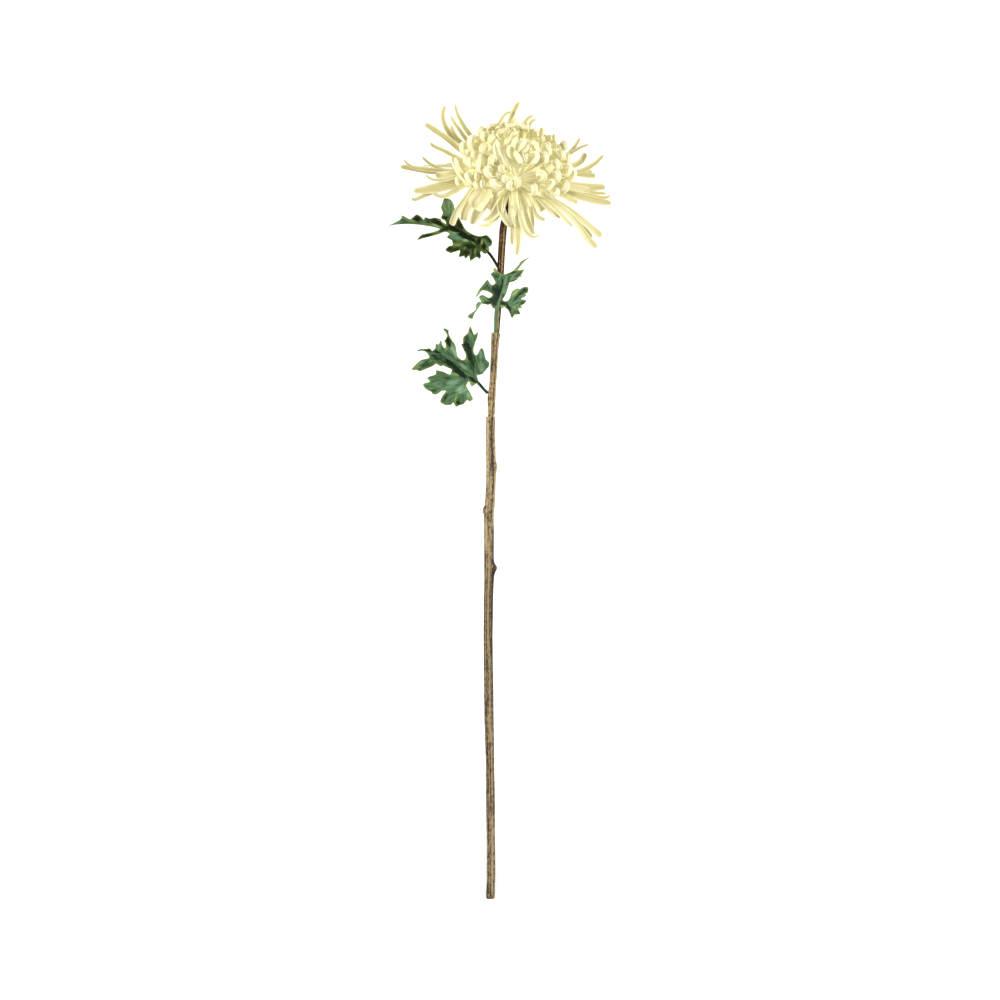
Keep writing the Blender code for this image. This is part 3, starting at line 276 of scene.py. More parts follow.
def bark(name, deep, dark, mid, ridge, gold):
    """Dry woody bark: matt, specked and fibrous, nearly black in its grooves and pits and along its far
    sides, partly as painted shade, pale on its ridges and golden where the outer skin has rubbed off;
    broken places are rough, and the skin is darker where the darkening mark lies, which right under
    the bloom is painted shade."""
    made, shader = new_material(name)
    place = add(made, "TexCoord")
    tone, torn, darkening = [add(made, "Attribute", attribute_name=key) for key in ("tone", "torn", "darkening")]
    # Fibres are 0.3 mm wide and about 20 mm long: drawn 0.6 mm wide, so that they show
    long = add(made, "Mapping", {0: place, "Scale": (1.0, 0.03, 1.0)})
    fibre = add(made, "TexNoise", {"Vector": long, "Scale": 1.0 / (0.6 * MM), "Detail": 3.0,
                                   "Roughness": 0.6})
    # Specks of the skin are 0.4 mm across: drawn 1.5 mm, for the same reason
    short = add(made, "Mapping", {0: place, "Scale": (1.0, 0.5, 1.0)})
    speck = add(made, "TexNoise", {"Vector": short, "Scale": 1.0 / (1.5 * MM), "Detail": 3.0,
                                   "Roughness": 0.75})
    rough = add(made, "Math", {0: speck, 1: 1.9, 2: fibre}, operation="MULTIPLY_ADD")
    tall = add(made, "Math", {0: tone, 1: 0.55, 2: rough}, operation="MULTIPLY_ADD")
    level = add(made, "MapRange", {0: tall, 1: 0.75, 2: 2.15})
    face = add(made, "ValToRGB", {0: level},
               [(0.12, deep), (0.86, gold), (0.36, dark), (0.50, mid), (0.66, ridge)])
    broken = add(made, "ValToRGB", {0: speck}, [(0.40, deep), (0.62, gold), (0.5, dark)])
    for share, skin in ((torn, broken), (darkening, colour(deep))):
        face = add(made, "Mix", {0: share, 6: face, 7: skin}, data_type="RGBA")
    grain = add(made, "Bump", {"Height": rough, "Distance": 0.3 * MM, "Strength": 0.8})
    wire(made, shader, {"Base Color": face, "Normal": grain, "Roughness": 0.8, "Specular IOR Level": 0.1})
    return made


tan_bark = bark("dry_tan_bark", "2E261D", "5E4F3E", "8C7B5F", "AC9A75", "BC9860")
woody_length("stem_lower", LOWER_LENGTH, LOWER_STREAKS, LOWER_DARKENING, LOWER_KNOTS, LOWER_PITS,
             tan_bark, seed=3.0, mouth=RIM_DEPTH)


# Middle length of the stem. A thinner, smoother shoot of the same bark with one dark stripe. Its
# foot stands in the lower collar, and its own collar widens to the front, where it holds both the
# upper length and the foot of the middle leaf.
MIDDLE_LENGTH = [
    (427, 491, 4.4, 0), (418, 491, 4.5, 0), (416.1, 491, 5.8, 0), (405, 491.5, 6, 0),
    (396, 491.7, 6.7, 0), (387, 492.6, 5.8, 0), (370, 493.7, 5.9, 0), (352, 494.5, 6, 0),
    (340, 495.2, 6.9, 0.6), (334, 495.6, 7.6, 0.7), (333, 495.7, 7.5, 0.7)]
# Its dark streaks at the far sides and round the back are painted shade
MIDDLE_STREAKS = [
    (28, 9, -0.8, 420, 333), (-22, 4, -0.5, 420, 333), (50, 8, 0.4, 420, 333), (-50, 10, 0.2, 420, 333),
    (4, 5, 0.4, 420, 333), (76, 10, -0.9, 420, 333), (-78, 10, -0.7, 420, 333), (130, 14, -0.8, 420, 333),
    (-130, 14, -0.8, 420, 333)]
MIDDLE_DARKENING = [(333, 345, 420), (0, 0.04, 0.02)]
MIDDLE_KNOTS = [(396, -70, 0.4, 5, 34)]
MIDDLE_SWELL = (344.0, 333.0, 0.32)     # from row, to row, share by which the collar is deeper in front
young_bark = bark("young_tan_bark", "33281C", "5E4D37", "8E7B5B", "AE9870", "B9965F")
woody_length("stem_middle", MIDDLE_LENGTH, MIDDLE_STREAKS, MIDDLE_DARKENING, MIDDLE_KNOTS, [],
             young_bark, seed=11.0, mouth=RIM_DEPTH, swell=MIDDLE_SWELL)


# Upper length of the stem. The youngest wood: dark brown and ribbed, with one golden stripe down its
# front where the skin is thin, and painted shade darkens it to maroon black right under the bloom.
UPPER_LENGTH = [
    (343, 496.4, 3.6, -0.8), (334, 496.6, 3.6, -0.8), (332.2, 496.7, 4.8, -0.8), (318, 497.4, 5.3, -0.5),
    (300, 498.6, 5.6, -0.2), (280, 500, 5.7, 0.2), (265, 500.9, 5.8, 0.5), (245, 502, 6, 1.2),
    (228, 503.2, 6.1, 2.4), (214, 505.9, 5.4, 3.6), (204, 508.2, 5, 4.9), (193.4, 511.9, 4.6, 6.8)]
# Its dark streaks at the far sides and round the back are painted shade
UPPER_STREAKS = [
    (18, 13, 1, 335, 213), (12, 3, -0.3, 300, 230), (-24, 5, 0.5, 335, 225), (-50, 14, -0.5, 335, 200),
    (-6, 6, -0.6, 335, 200), (48, 8, -0.6, 335, 200), (78, 14, -0.6, 335, 200), (150, 14, -0.5, 335, 200),
    (-120, 14, -0.5, 335, 200)]
# Right under the bloom the darkening is painted shade
UPPER_DARKENING = [(193, 212, 232, 335), (1, 0.9, 0.15, 0)]
dark_bark = bark("young_brown_bark", "241115", "35271B", "463524", "715A3B", "B08F5E")
woody_length("stem_upper", UPPER_LENGTH, UPPER_STREAKS, UPPER_DARKENING, [], [], dark_bark,
             seed=19.0)


# Lower leaf. A soft green blade cut into broad, toothed lobes, with a petiole of the same tissue that
# joins the middle length. It is folded along its midrib; its veins lie in valleys on this upper face
# and the blade swells between them. Its edges are thin, crisp and olive.
LEAF_GRID = 0.62 * MM                   # spacing of the points inside a blade
LEAF_THICKNESS = 0.55 * MM
PETIOLE_SIDES, PETIOLE_FLATNESS = 20, 0.85
PETIOLE_PLACES = 3                      # how many places of a midrib's line lie on the petiole
STALK_STATIONS = 70
RIB_RADIUS = 0.26 * MM
PUFF_HEIGHT, VEIN_VALLEY = 1.2 * MM, 0.35 * MM     # how the blade swells between veins and dips at them
LOWER_OUTLINE = [
    (478.5, 381), (477, 375.5), (482, 374.3), (486, 370), (489, 366), (489.2, 362.5), (485.7, 359),
    (483.7, 350.5), (481.5, 347.8), (479.8, 349.5), (478, 353.5), (476.5, 355.3), (474.5, 354),
    (473.5, 350), (475, 343), (477.5, 337), (477.9, 332.3), (474, 334.5), (471.5, 328), (470.2, 326.2),
    (468.8, 329), (468, 333), (464, 336.5), (462.7, 339), (463, 343.5), (461.2, 344.5), (463.5, 349.5),
    (465.7, 354), (465.2, 359), (462, 360), (457.5, 356.5), (456, 348), (455, 344.5), (450.5, 338),
    (448.5, 333), (448.8, 330.5), (445, 328.3), (443.2, 329.3), (447.3, 335), (445.5, 339.5),
    (444.2, 340.3), (446, 345), (445, 348.2), (441.8, 344.5), (441.8, 341.2), (440.5, 340.8),
    (438.5, 344.5), (435.8, 343.5), (435.2, 348), (432.2, 351), (430, 348.5), (425, 348.8),
    (419.5, 349.2), (416, 351.5), (422, 350.5), (426.5, 352.5), (429.3, 356.5), (428, 358.2), (421, 360),
    (415.5, 364.5), (411.5, 369.5), (417, 370), (419.3, 371.3), (424.5, 369.5), (433, 366), (436, 364),
    (441, 366.5), (443, 365.5), (446, 367), (451.5, 369.5), (450, 374.5), (444, 372), (436.5, 370.3),
    (435.5, 374.5), (429.5, 376.5), (427, 378.5), (430, 381.5), (424, 383.5), (423.2, 386), (427, 390),
    (431.5, 392), (432.5, 394), (436.5, 394.5), (442, 391), (446, 391), (442, 396.5), (440.2, 402),
    (445, 405), (451.5, 404.7), (453.2, 402.5), (456, 407), (460.3, 405), (463, 404.5), (467.5, 400),
    (469.5, 401.7), (473, 399), (470, 392.5), (466.3, 385.8), (469, 381.3), (471.5, 386.5),
    (476.5, 383.5)]
LOWER_RIB = [
    (487.7, 393.1), (484, 389.5), (480, 385), (476, 381), (465, 373), (452, 361.5), (440, 353.5),
    (430, 351), (419, 350.3)]
# Veins run from the midrib, or from one another, out into the lobes and their teeth
LOWER_VEINS = [
    [(476, 381), (478.5, 371), (483, 362), (482, 351)], [(479.5, 369), (487, 365)],
    [(474, 378.5), (471.5, 362), (469.5, 345), (470.2, 329)], [(470.5, 352), (475.5, 340), (476.8, 334)],
    [(469.8, 348), (464, 343)], [(458, 366.5), (453, 352), (449.5, 344), (447.5, 334)],
    [(452.5, 351), (446, 346)], [(449, 359.5), (443, 350), (440.7, 343)], [(443, 355.5), (437, 346)],
    [(446, 357.5), (433, 361), (422, 365), (413.5, 369)], [(433, 361), (426, 359)],
    [(466, 374.5), (455, 380), (440, 380), (428, 385.5)], [(446, 380), (436, 374)],
    [(441, 380.5), (434, 392)], [(469, 377), (458, 388), (448, 397), (443, 402.5)],
    [(451, 394.5), (450.5, 403)], [(470.5, 378.5), (463, 391), (458.5, 404)],
    [(463.5, 390), (463.5, 402.5)], [(471, 379), (468, 390), (471, 399)], [(472, 380.5), (472, 384.5)]]


def flat_places(places):
    """Pixel places as points of the picture plane."""
    return np.array([at(*place)[:2] for place in places])


def eased(start, end, leaving, arriving, t):
    """The cubic from start to end with these directions at its ends, at the share t."""
    return (start * (2 * t ** 3 - 3 * t * t + 1) + leaving * (t ** 3 - 2 * t * t + t)
            + end * (3 * t * t - 2 * t ** 3) + arriving * (t ** 3 - t * t))


def smooth_path(points, stations):
    """Stations along a Catmull-Rom curve through the points: even ones, or at the shares given."""
    points = np.asarray(points, float)
    ends = np.vstack([2 * points[0] - points[1], points, 2 * points[-1] - points[-2]])
    t = (np.arange(12) / 12)[:, None]
    fine = [0.5 * (2 * b + (c - a) * t + (2 * a - 5 * b + 4 * c - d) * t ** 2
                   + (3 * b - a - 3 * c + d) * t ** 3)
            for a, b, c, d in zip(ends, ends[1:], ends[2:], ends[3:])]
    fine = np.vstack(fine + [points[-1:]])
    run = np.concatenate([[0.0], np.cumsum(np.linalg.norm(np.diff(fine, axis=0), axis=1))])
    shares = np.linspace(0.0, 1.0, stations) if isinstance(stations, int) else stations
    return np.stack([np.interp(shares * run[-1], run, fine[:, k]) for k in range(fine.shape[1])], 1)


def soft_outline(corners, steps=4, tension=0.32):
    """A closed outline through its corners, with every notch and tooth rounded a little."""
    before, after, beyond = [np.roll(corners, -shift, 0) for shift in (-1, 1, 2)]
    return np.array([eased(b, c, (c - a) * tension, (d - b) * tension, step / steps)
                     for a, b, c, d in zip(before, corners, after, beyond) for step in range(steps)])


def off_lines(spots, lines):
    """Distance of each spot from the nearest of the lines, with how far along that line it is."""
    nearest = np.full(len(spots), 1.0)
    along = np.zeros(len(spots))
    for line in lines:
        for k, (a, b) in enumerate(zip(line, line[1:])):
            run = b - a
            share = np.clip((spots - a) @ run / run.dot(run), 0, 1)
            away = np.linalg.norm(spots - a - share[:, None] * run, axis=1)
            along = np.where(away < nearest, (k + share) / (len(line) - 1), along)
            nearest = np.minimum(nearest, away)
    return nearest, along


def within(spots, outline):
    """True for each spot inside a closed outline."""
    x, y = spots[:, 0], spots[:, 1]
    odd = np.zeros(len(spots), bool)
    for a, b in zip(outline, np.roll(outline, -1, 0)):
        if a[1] != b[1]:
            crossed = (a[1] > y) != (b[1] > y)
            odd ^= crossed & (x < a[0] + (y - a[1]) / (b[1] - a[1]) * (b[0] - a[0]))
    return odd


class Blade:
    """Depth of a leaf's surface: it leans, arches, folds at its rib and waves, and its veins and
    edges stand off it. shown is 1 where the upper face looks to the front, and -1 for the back."""

    def __init__(self, rib, veins, outline, depth, along, arch, across, fold, wave, wave_length, shown, crisp,
                 **patches):
        self.rib, self.veins = flat_places(rib), [flat_places(line) for line in veins]
        self.edge, self.patches = soft_outline(flat_places(outline)), patches
        self.base, self.shown, self.crisp = self.rib[PETIOLE_PLACES], shown, crisp
        self.axis = unit(self.rib[-1] - self.base)
        self.depth, self.along, self.arch = depth * MM, along, arch / MM
        self.across, self.fold, self.wave = across, fold, wave * MM
        self.wave_number = 2 * math.pi / (wave_length * MM)

    def points(self, spots):
        offset = spots - self.base
        forward = offset @ self.axis
        side = offset @ np.array([-self.axis[1], self.axis[0]])
        from_rib, _ = off_lines(spots, [self.rib[PETIOLE_PLACES:]])
        deep = self.depth + self.along * forward + self.arch * forward * np.abs(forward)
        deep += self.across * side + self.fold * np.hypot(from_rib, 1.2 * MM)
        deep += self.wave * np.sin(self.wave_number * (forward + 0.6 * side))
        deep += 0.6 * self.wave * np.cos(self.wave_number * 1.7 * (side - 0.3 * forward))
        from_vein, _ = off_lines(spots, self.veins)
        from_vein = np.minimum(from_vein, from_rib)
        from_edge, run = off_lines(spots, [np.vstack([self.edge, self.edge[:1]])])
        puff = 1.0 - np.exp(-from_vein / (2.0 * MM))
        deep += self.shown * (PUFF_HEIGHT * puff - VEIN_VALLEY * np.exp(-(from_vein / (0.6 * MM)) ** 2))
        curl = np.exp(-from_edge / (1.5 * MM))
        ripple = np.sin(run * 151.0) + 0.7 * np.sin(run * 87.0 + 1.3)
        deep += self.crisp * MM * curl * (0.45 * ripple - 0.5 * self.shown)
        marks = {"vein": np.exp(-(from_vein / (0.38 * MM)) ** 2), "rim": np.exp(-from_edge / (0.7 * MM)),
                 "fan": np.arctan2(side, forward + 6.0 * MM), "reach": np.hypot(side, forward) / (30.0 * MM)}
        for mark, patches in self.patches.items():
            marks[mark] = np.zeros(len(spots))
            for column, row, long, wide, tilt, amount in patches:
                tilt = math.radians(tilt)
                off = (spots - at(column, row)[:2]) / PX
                u = (off[:, 0] * math.cos(tilt) + off[:, 1] * math.sin(tilt)) / long
                v = (off[:, 1] * math.cos(tilt) - off[:, 0] * math.sin(tilt)) / wide
                marks[mark] = np.maximum(marks[mark], amount * np.exp(-(u * u + v * v) ** 1.8))
        return np.column_stack([spots, deep]), marks

    def normals(self, spots):
        step = 0.3 * MM
        dx, dy = np.array([step, 0.0]), np.array([0.0, step])
        run_x = self.points(spots + dx)[0] - self.points(spots - dx)[0]
        run_y = self.points(spots + dy)[0] - self.points(spots - dy)[0]
        return unit(np.cross(run_x, run_y))


def blade_solid(blade):
    """The blade as a thin closed solid: the same triangles on both faces, thinner to its edge."""
    low, high = blade.edge.min(0), blade.edge.max(0)
    rows = np.arange(low[1], high[1], LEAF_GRID * 0.866)
    grid = [(x, y) for k, y in enumerate(rows)
            for x in np.arange(low[0] + (k % 2) * LEAF_GRID / 2, high[0], LEAF_GRID)]
    grid = np.array(grid)
    grid = grid[within(grid, blade.edge)]
    clear, _ = off_lines(grid, [np.vstack([blade.edge, blade.edge[:1]])])
    spots = np.vstack([blade.edge, grid[clear > LEAF_GRID * 0.4]])
    loop = [(k, (k + 1) % len(blade.edge)) for k in range(len(blade.edge))]
    flat, _, triangles, _, _, _ = delaunay_2d_cdt([tuple(spot) for spot in spots], loop, [], 1, 1e-7)
    flat = np.array([tuple(spot) for spot in flat])
    middle, marks = blade.points(flat)
    half = blade.normals(flat) * (LEAF_THICKNESS / 2 * (1.0 - 0.45 * marks["rim"]))[:, None]
    count = len(flat)
    faces, open_edges = [], {}
    for a, b, c in triangles:
        if np.cross(flat[b] - flat[a], flat[c] - flat[a]) < 0:
            b, c = c, b
        faces += [[a, b, c], [a + count, c + count, b + count]]
        for start, end in ((a, b), (b, c), (c, a)):
            if open_edges.pop((end, start), None) is None:
                open_edges[(start, end)] = True
    for start, end in open_edges:
        faces.append([start, start + count, end + count, end])
    both = {mark: np.concatenate([values, values]) for mark, values in marks.items()}
    both["back"] = np.repeat([float(blade.shown < 0), float(blade.shown > 0)], count)
    return np.vstack([middle + half, middle - half]), faces, both


def leaf(node, blade, petiole_depths, foot_radius, petiole_painted_shade, rib_painted_shade, finish):
    """A leaf of one tissue: blade, raised midrib and petiole."""
    points, faces, marks = blade_solid(blade)
    places = [np.append(place, depth * MM) for place, depth in zip(blade.rib, petiole_depths)]
    places += [blade.points(place[None])[0][0] for place in blade.rib[PETIOLE_PLACES:]]
    path = smooth_path(places, STALK_STATIONS)
    share = np.linspace(0, 1, STALK_STATIONS)
    start = np.argmin(np.linalg.norm(path - places[PETIOLE_PLACES], axis=1)) / STALK_STATIONS
    slim = np.clip((share - start) / (1 - start), 0, 1) ** 0.3
    radii = foot_radius * (1 - slim) + RIB_RADIUS * slim
    faces += ring_faces(STALK_STATIONS, PETIOLE_SIDES, len(points))
    side = carried(path, TO_FRONT)
    other = np.cross(tangents(path), side)
    stalk = tube(path, side, other, radii[:, None], PETIOLE_SIDES, PETIOLE_FLATNESS).reshape(-1, 3)
    inside = np.repeat(np.clip((share - start) / 0.1 + 0.5, 0, 1), PETIOLE_SIDES)
    leftward = np.tile(-np.sin(round_angles(PETIOLE_SIDES)), STALK_STATIONS)
    stalk_marks = {mark: 0.0 * inside for mark in marks}
    stalk_marks["vein"] = 0.4 + 0.4 * inside
    stalk_marks["back"] += float(blade.shown < 0)
    # Painted shade along the petiole, less on its left side, and along the midrib in its fold
    stalk_marks["dark"] = (petiole_painted_shade * (1.0 - inside) * np.clip(1.3 - 1.5 * leftward, 0, 1)
                           + rib_painted_shade * inside)
    marks = {mark: np.concatenate([marks[mark], values]) for mark, values in stalk_marks.items()}
    grown(node + "_blade", np.vstack([points, stalk]), faces, finish, node, marks)


def leaf_green(name, upper, deep, vein, back, edge, bloom, painted_light):
    """Soft leaf tissue: matt with a faint waxy sheen and streaked from its base outwards. Painted shade
    makes it near black in its folds; it is bluish and pale where the wax is thick (bloom), with painted
    highlights there, with painted yellow-green light along its thin edges, and painted light where it
    turns to the light (painted_light)."""
    made, shader = new_material(name)
    place = add(made, "TexCoord")
    mottle = add(made, "TexNoise", {"Vector": place, "Scale": 1.0 / (3.0 * MM), "Detail": 4.0})
    # The net of small veins has meshes 1.6 mm wide
    cells = add(made, "TexVoronoi", {"Vector": place, "Scale": 1.0 / (1.6 * MM)}, feature="DISTANCE_TO_EDGE")
    mark = {key: add(made, "Attribute", attribute_name=key)
            for key in ("vein", "rim", "back", "dark", "pale", "painted_light", "fan", "reach")}
    fan = add(made, "Math", {0: mark["fan"], 1: 9.0}, operation="MULTIPLY")
    spread = add(made, "CombineXYZ", {0: fan, 1: mark["reach"]})
    streak = add(made, "TexNoise", {"Vector": spread, "Scale": 1.6, "Detail": 4.0, "Roughness": 0.6})
    # Each layer lies over the ones before it: how much of it shows, and its colour
    layers = [(mark["back"], back), (add(made, "MapRange", {0: mottle, 1: 0.35, 2: 0.70, 4: 0.38}), deep),
              (add(made, "MapRange", {0: streak, 1: 0.40, 2: 0.66, 4: 0.6}), vein)]
    # Pale bluish wax, partly a painted highlight, and painted light where the blade turns to the light
    for key, tone in (("pale", bloom), ("painted_light", painted_light)):
        share = add(made, "Math", {0: mark[key], 1: streak}, operation="MULTIPLY")
        layers.append((add(made, "Math", {0: share, 1: 1.7}, operation="MULTIPLY", use_clamp=True), tone))
    layers.append((add(made, "Math", {0: mark["vein"], 1: 0.35}, operation="MULTIPLY"), vein))
    # Painted shade: near black where the dark mark lies, less under painted light or pale wax, broken by the
    # mottle
    fold = mark["dark"]
    for part, amount in ((mark["painted_light"], -0.6), (mark["pale"], -0.3), (mottle, 1.0)):
        fold = add(made, "Math", {0: part, 1: amount, 2: fold}, operation="MULTIPLY_ADD")
    layers.append((add(made, "MapRange", {0: fold, 1: 0.72, 2: 1.20, 4: 0.97}), deep))
    # Painted yellow-green light along the thin edges, patchy
    patchy_edge_light = add(made, "MapRange", {0: mottle, 1: 0.40, 2: 0.58, 3: 0.15, 4: 0.95})
    layers.append((add(made, "Math", {0: mark["rim"], 1: patchy_edge_light}, operation="MULTIPLY"), edge))
    face = colour(upper)
    for share, code in layers:
        face = add(made, "Mix", {0: share, 6: face, 7: colour(code)}, data_type="RGBA")
    net = add(made, "MapRange", {0: cells, 1: 0.0, 2: 0.12})
    bump = add(made, "Bump", {"Height": net, "Distance": 0.14 * MM, "Strength": 0.6})
    wire(made, shader, {"Base Color": face, "Normal": bump, "Roughness": 0.6, "Specular IOR Level": 0.1})
    return made


lower_green = leaf_green("green_leaf_tissue", "355534", "0F2010", "688A60", "43684A", "869846", "85A582",
                         "8A9A50")
# Painted shade on folds that the light misses, pale bluish wax with painted highlights, and painted
# light where the blade turns to the light: pixel column and row of the middle, half length and half
# width in pixels, tilt in degrees, strength
LOWER_PAINTED_SHADE = [
    (424, 366, 13, 4.2, 18, 0.52), (466.5, 338, 6, 3, -75, 0.65), (472, 362, 9, 3.5, 80, 0.62),
    (461, 361, 8, 2.5, -45, 0.55), (455.4, 368.6, 15, 3.6, -40, 1.2), (439, 358.6, 13, 4.4, -25, 0.55),
    (433.5, 351, 7.5, 2, -12, 1), (427, 350.6, 5, 1.6, -5, 1), (467, 352, 11, 4, -62, 1.1),
    (473.5, 380.5, 6, 2, -40, 1.1), (468.3, 350.5, 9.5, 3.4, -75, 1.2), (464.6, 344, 4, 2.6, -20, 1.1),
    (471.5, 332, 4, 1, -60, 0.8), (448.2, 341, 7, 2.6, -72, 1.2), (474, 366, 12, 0.8, 88, 0.6),
    (481.5, 373.5, 4, 0.9, 10, 0.9), (431.5, 376, 5, 1.6, 20, 0.7), (457.5, 359.5, 4, 1, -70, 0.6),
    (458.6, 403, 3, 2, 0, 0.8), (445.4, 397, 5, 2, 60, 0.6), (433, 391, 4, 1.6, 0, 0.7),
    (431.5, 365.8, 4, 0.9, 20, 0.9), (449, 378, 8, 1.2, 12, 0.45), (421, 366.5, 8, 1.6, 25, 0.35),
    (426, 361.5, 5, 2, 20, 0.5)]
LOWER_WAX_AND_HIGHLIGHT = [
    (461.6, 389.5, 6, 4.5, 0, 0.9), (452, 383, 7, 4, 30, 0.6), (469, 395.7, 5, 2.5, -60, 0.8),
    (420.5, 363.5, 5, 1.6, 22, 0.5), (481.5, 366.6, 5, 3, 90, 0.7), (453.8, 351.4, 8, 3, -65, 0.6),
    (481.5, 354.5, 5, 2, -80, 0.5), (469.8, 335.5, 6, 1.6, 85, 0.5), (463.5, 366, 5, 2, -40, 0.5),
    (439, 346, 5, 2, 80, 0.5), (438, 384, 6, 3, 0, 0.4)]
LOWER_PAINTED_LIGHT = [
    (472.5, 384, 4, 2, -20, 1), (415.8, 367, 4, 2, 0, 0.6), (454.7, 374.4, 5, 1.3, -10, 0.7),
    (466.8, 356.6, 5, 0.9, -80, 0.9), (455.6, 399.6, 6, 0.9, 80, 0.8), (463.4, 340, 4, 0.8, 90, 0.8),
    (446.5, 349, 4, 1, 60, 0.6)]
lower_blade = Blade(LOWER_RIB, LOWER_VEINS, LOWER_OUTLINE, depth=4.0, along=0.05, arch=-0.0030,
                    across=-0.10, fold=0.20, wave=1.3, wave_length=34.0, shown=1.0, crisp=1.0,
                    dark=LOWER_PAINTED_SHADE, pale=LOWER_WAX_AND_HIGHLIGHT, painted_light=LOWER_PAINTED_LIGHT)
leaf("leaf_lower", lower_blade, (1.2, 2.2, 3.2), 1.35 * MM, 0.8, 0.4, lower_green)


# Middle leaf. It stands in the upper collar on a stout, paler petiole, and turns its back to the
# front: a duller green face with a raised, light midrib. The tip of the blade bends backwards.
MIDDLE_OUTLINE = [
    (499.5, 307.5), (503, 308.2), (504, 306.8), (508.5, 310.5), (511, 316.5), (512.5, 318.2),
    (514.5, 315), (520.5, 314), (518.3, 309), (522.5, 308), (521, 306), (524, 304), (526.5, 300.5),
    (521, 299), (526, 296), (525.5, 294), (527.8, 292.7), (528.5, 287.5), (524, 286.8), (520, 289),
    (517, 288.5), (514, 290), (511.5, 292.5), (509.5, 299), (507.5, 301), (504.5, 301.2), (502.7, 299.5),
    (505.5, 295), (508, 288), (509.5, 283), (514, 281.3), (517, 279.5), (519.5, 277), (523, 276.8),
    (521, 275.5), (524.3, 269.3), (518, 270), (524, 262), (530.5, 256.3), (521, 261.3), (518.5, 265),
    (513.5, 270.5), (508, 273.3), (503.5, 274.5), (501, 274), (498, 271.5), (495, 268), (493, 270),
    (494, 271.5), (490.5, 274), (492, 276.5), (495.3, 282), (494.5, 284), (492, 285.3), (490.5, 284),
    (487.3, 279.8), (483, 284.5), (478.5, 290.5), (475.8, 296.5), (474, 299), (478.5, 295), (481.5, 291),
    (485, 290.7), (491.5, 293.5), (492.3, 295.5), (490.5, 297.3), (488, 297.8), (483, 295), (480, 295.9),
    (478.9, 297.6), (481, 302), (478, 302), (476.2, 304.5), (475.5, 310), (469, 314.5), (468, 317.5),
    (472.5, 319), (474, 314.5), (480, 306), (482, 303.8), (488, 305), (490.5, 304.5), (492, 306.5),
    (493.5, 308.5)]
MIDDLE_RIB = [
    (495.3, 336.6), (495.5, 328), (496, 320), (497.2, 308), (500, 298), (502.5, 290), (504.5, 283),
    (506, 277)]
MIDDLE_VEINS = [
    [(498.5, 303), (507, 304), (516, 297.5), (526, 289)], [(509, 303.5), (517, 301.5), (525, 300.5)],
    [(508, 304.5), (514, 308.5), (519.5, 313.5)], [(509, 306), (512, 316.5)],
    [(516, 297.5), (524, 294.5)], [(499.5, 299.5), (494, 291), (488, 284), (487.3, 281)],
    [(489.5, 286.5), (481, 289), (475.5, 297.5)], [(498, 304), (490, 300.5), (482, 298)],
    [(486, 299.5), (479, 304.5), (470.5, 316)], [(503, 288), (499.5, 280.5), (494, 272.5)],
    [(504, 284), (511, 278), (520, 272)], [(506, 279), (514.5, 271), (519, 264.5), (529, 257)],
    [(509, 280), (519.5, 277)], [(504.5, 283), (502.5, 275.5)]]
# Painted shade, pale wax with painted highlights, and painted light of the middle leaf, as for the lower one
MIDDLE_PAINTED_SHADE = [
    (495, 294.5, 15, 7.6, 80, 0.74), (503, 297.5, 5.5, 1.1, 76, 1), (505.4, 288, 6, 0.8, 74, 0.6),
    (500.3, 291.5, 14, 1.2, 76, 1), (507.6, 284, 9, 0.8, 72, 0.5), (503.6, 303.3, 5, 2, -10, 0.9),
    (509, 309, 6, 1.8, -65, 0.9), (512.3, 316.3, 2.5, 2, 0, 0.9), (519, 295, 8, 0.9, 42, 0.9),
    (524.8, 290, 3.5, 2.5, 0, 0.7), (523, 302.5, 3.5, 1.8, 20, 0.7), (519.4, 311.5, 2.5, 2, 0, 0.8),
    (495.3, 275.7, 4, 2, -40, 0.6), (514, 280.8, 5, 1.2, 25, 0.9), (518, 274.5, 6, 1.6, 35, 0.6),
    (489, 302.8, 4, 1.4, 0, 0.9), (484.8, 287.8, 5, 2, 35, 0.5), (514, 272.3, 4, 1.2, 25, 0.9)]
MIDDLE_WAX_AND_HIGHLIGHT = [
    (505.2, 290.3, 7, 2, 75, 0.5), (514, 293.6, 6, 2.5, 50, 0.8), (514, 305.3, 5, 3, 0, 0.5),
    (481, 299.5, 3.5, 2, 0, 0.8), (474.8, 310.8, 8, 1.5, 52, 0.7), (505.8, 280, 5.5, 1.4, 85, 0.6),
    (523.6, 262.8, 8, 1.2, 45, 0.6)]
MIDDLE_PAINTED_LIGHT = [
    (476.5, 295, 4.5, 1, 55, 1), (479, 307, 6, 0.9, 60, 1), (495.3, 270, 2.5, 2, 0, 0.9),
    (515.2, 292.8, 5, 1.4, 50, 0.8), (516, 270, 3, 1.5, 0, 0.7), (522.5, 306.2, 2, 1.2, 0, 1),
    (513.2, 309, 4, 1.5, 60, 0.5), (502.3, 306.2, 2, 1, 0, 0.8), (500, 272.8, 7, 0.7, -8, 0.8)]
middle_green = leaf_green("pale_leaf_back", "3C5A3E", "14241A", "7C9E74", "385639", "8C9E48", "70946E",
                          "98AA5C")
middle_blade = Blade(MIDDLE_RIB, MIDDLE_VEINS, MIDDLE_OUTLINE, depth=11.0, along=0.30,
                     arch=-0.0150, across=0.05, fold=-0.30, wave=1.1, wave_length=30.0, shown=-1.0, crisp=1.0,
                     dark=MIDDLE_PAINTED_SHADE, pale=MIDDLE_WAX_AND_HIGHLIGHT, painted_light=MIDDLE_PAINTED_LIGHT)
leaf("leaf_middle", middle_blade, (3.3, 3.7, 5.6), 1.5 * MM, 0.0, 0.0, middle_green)


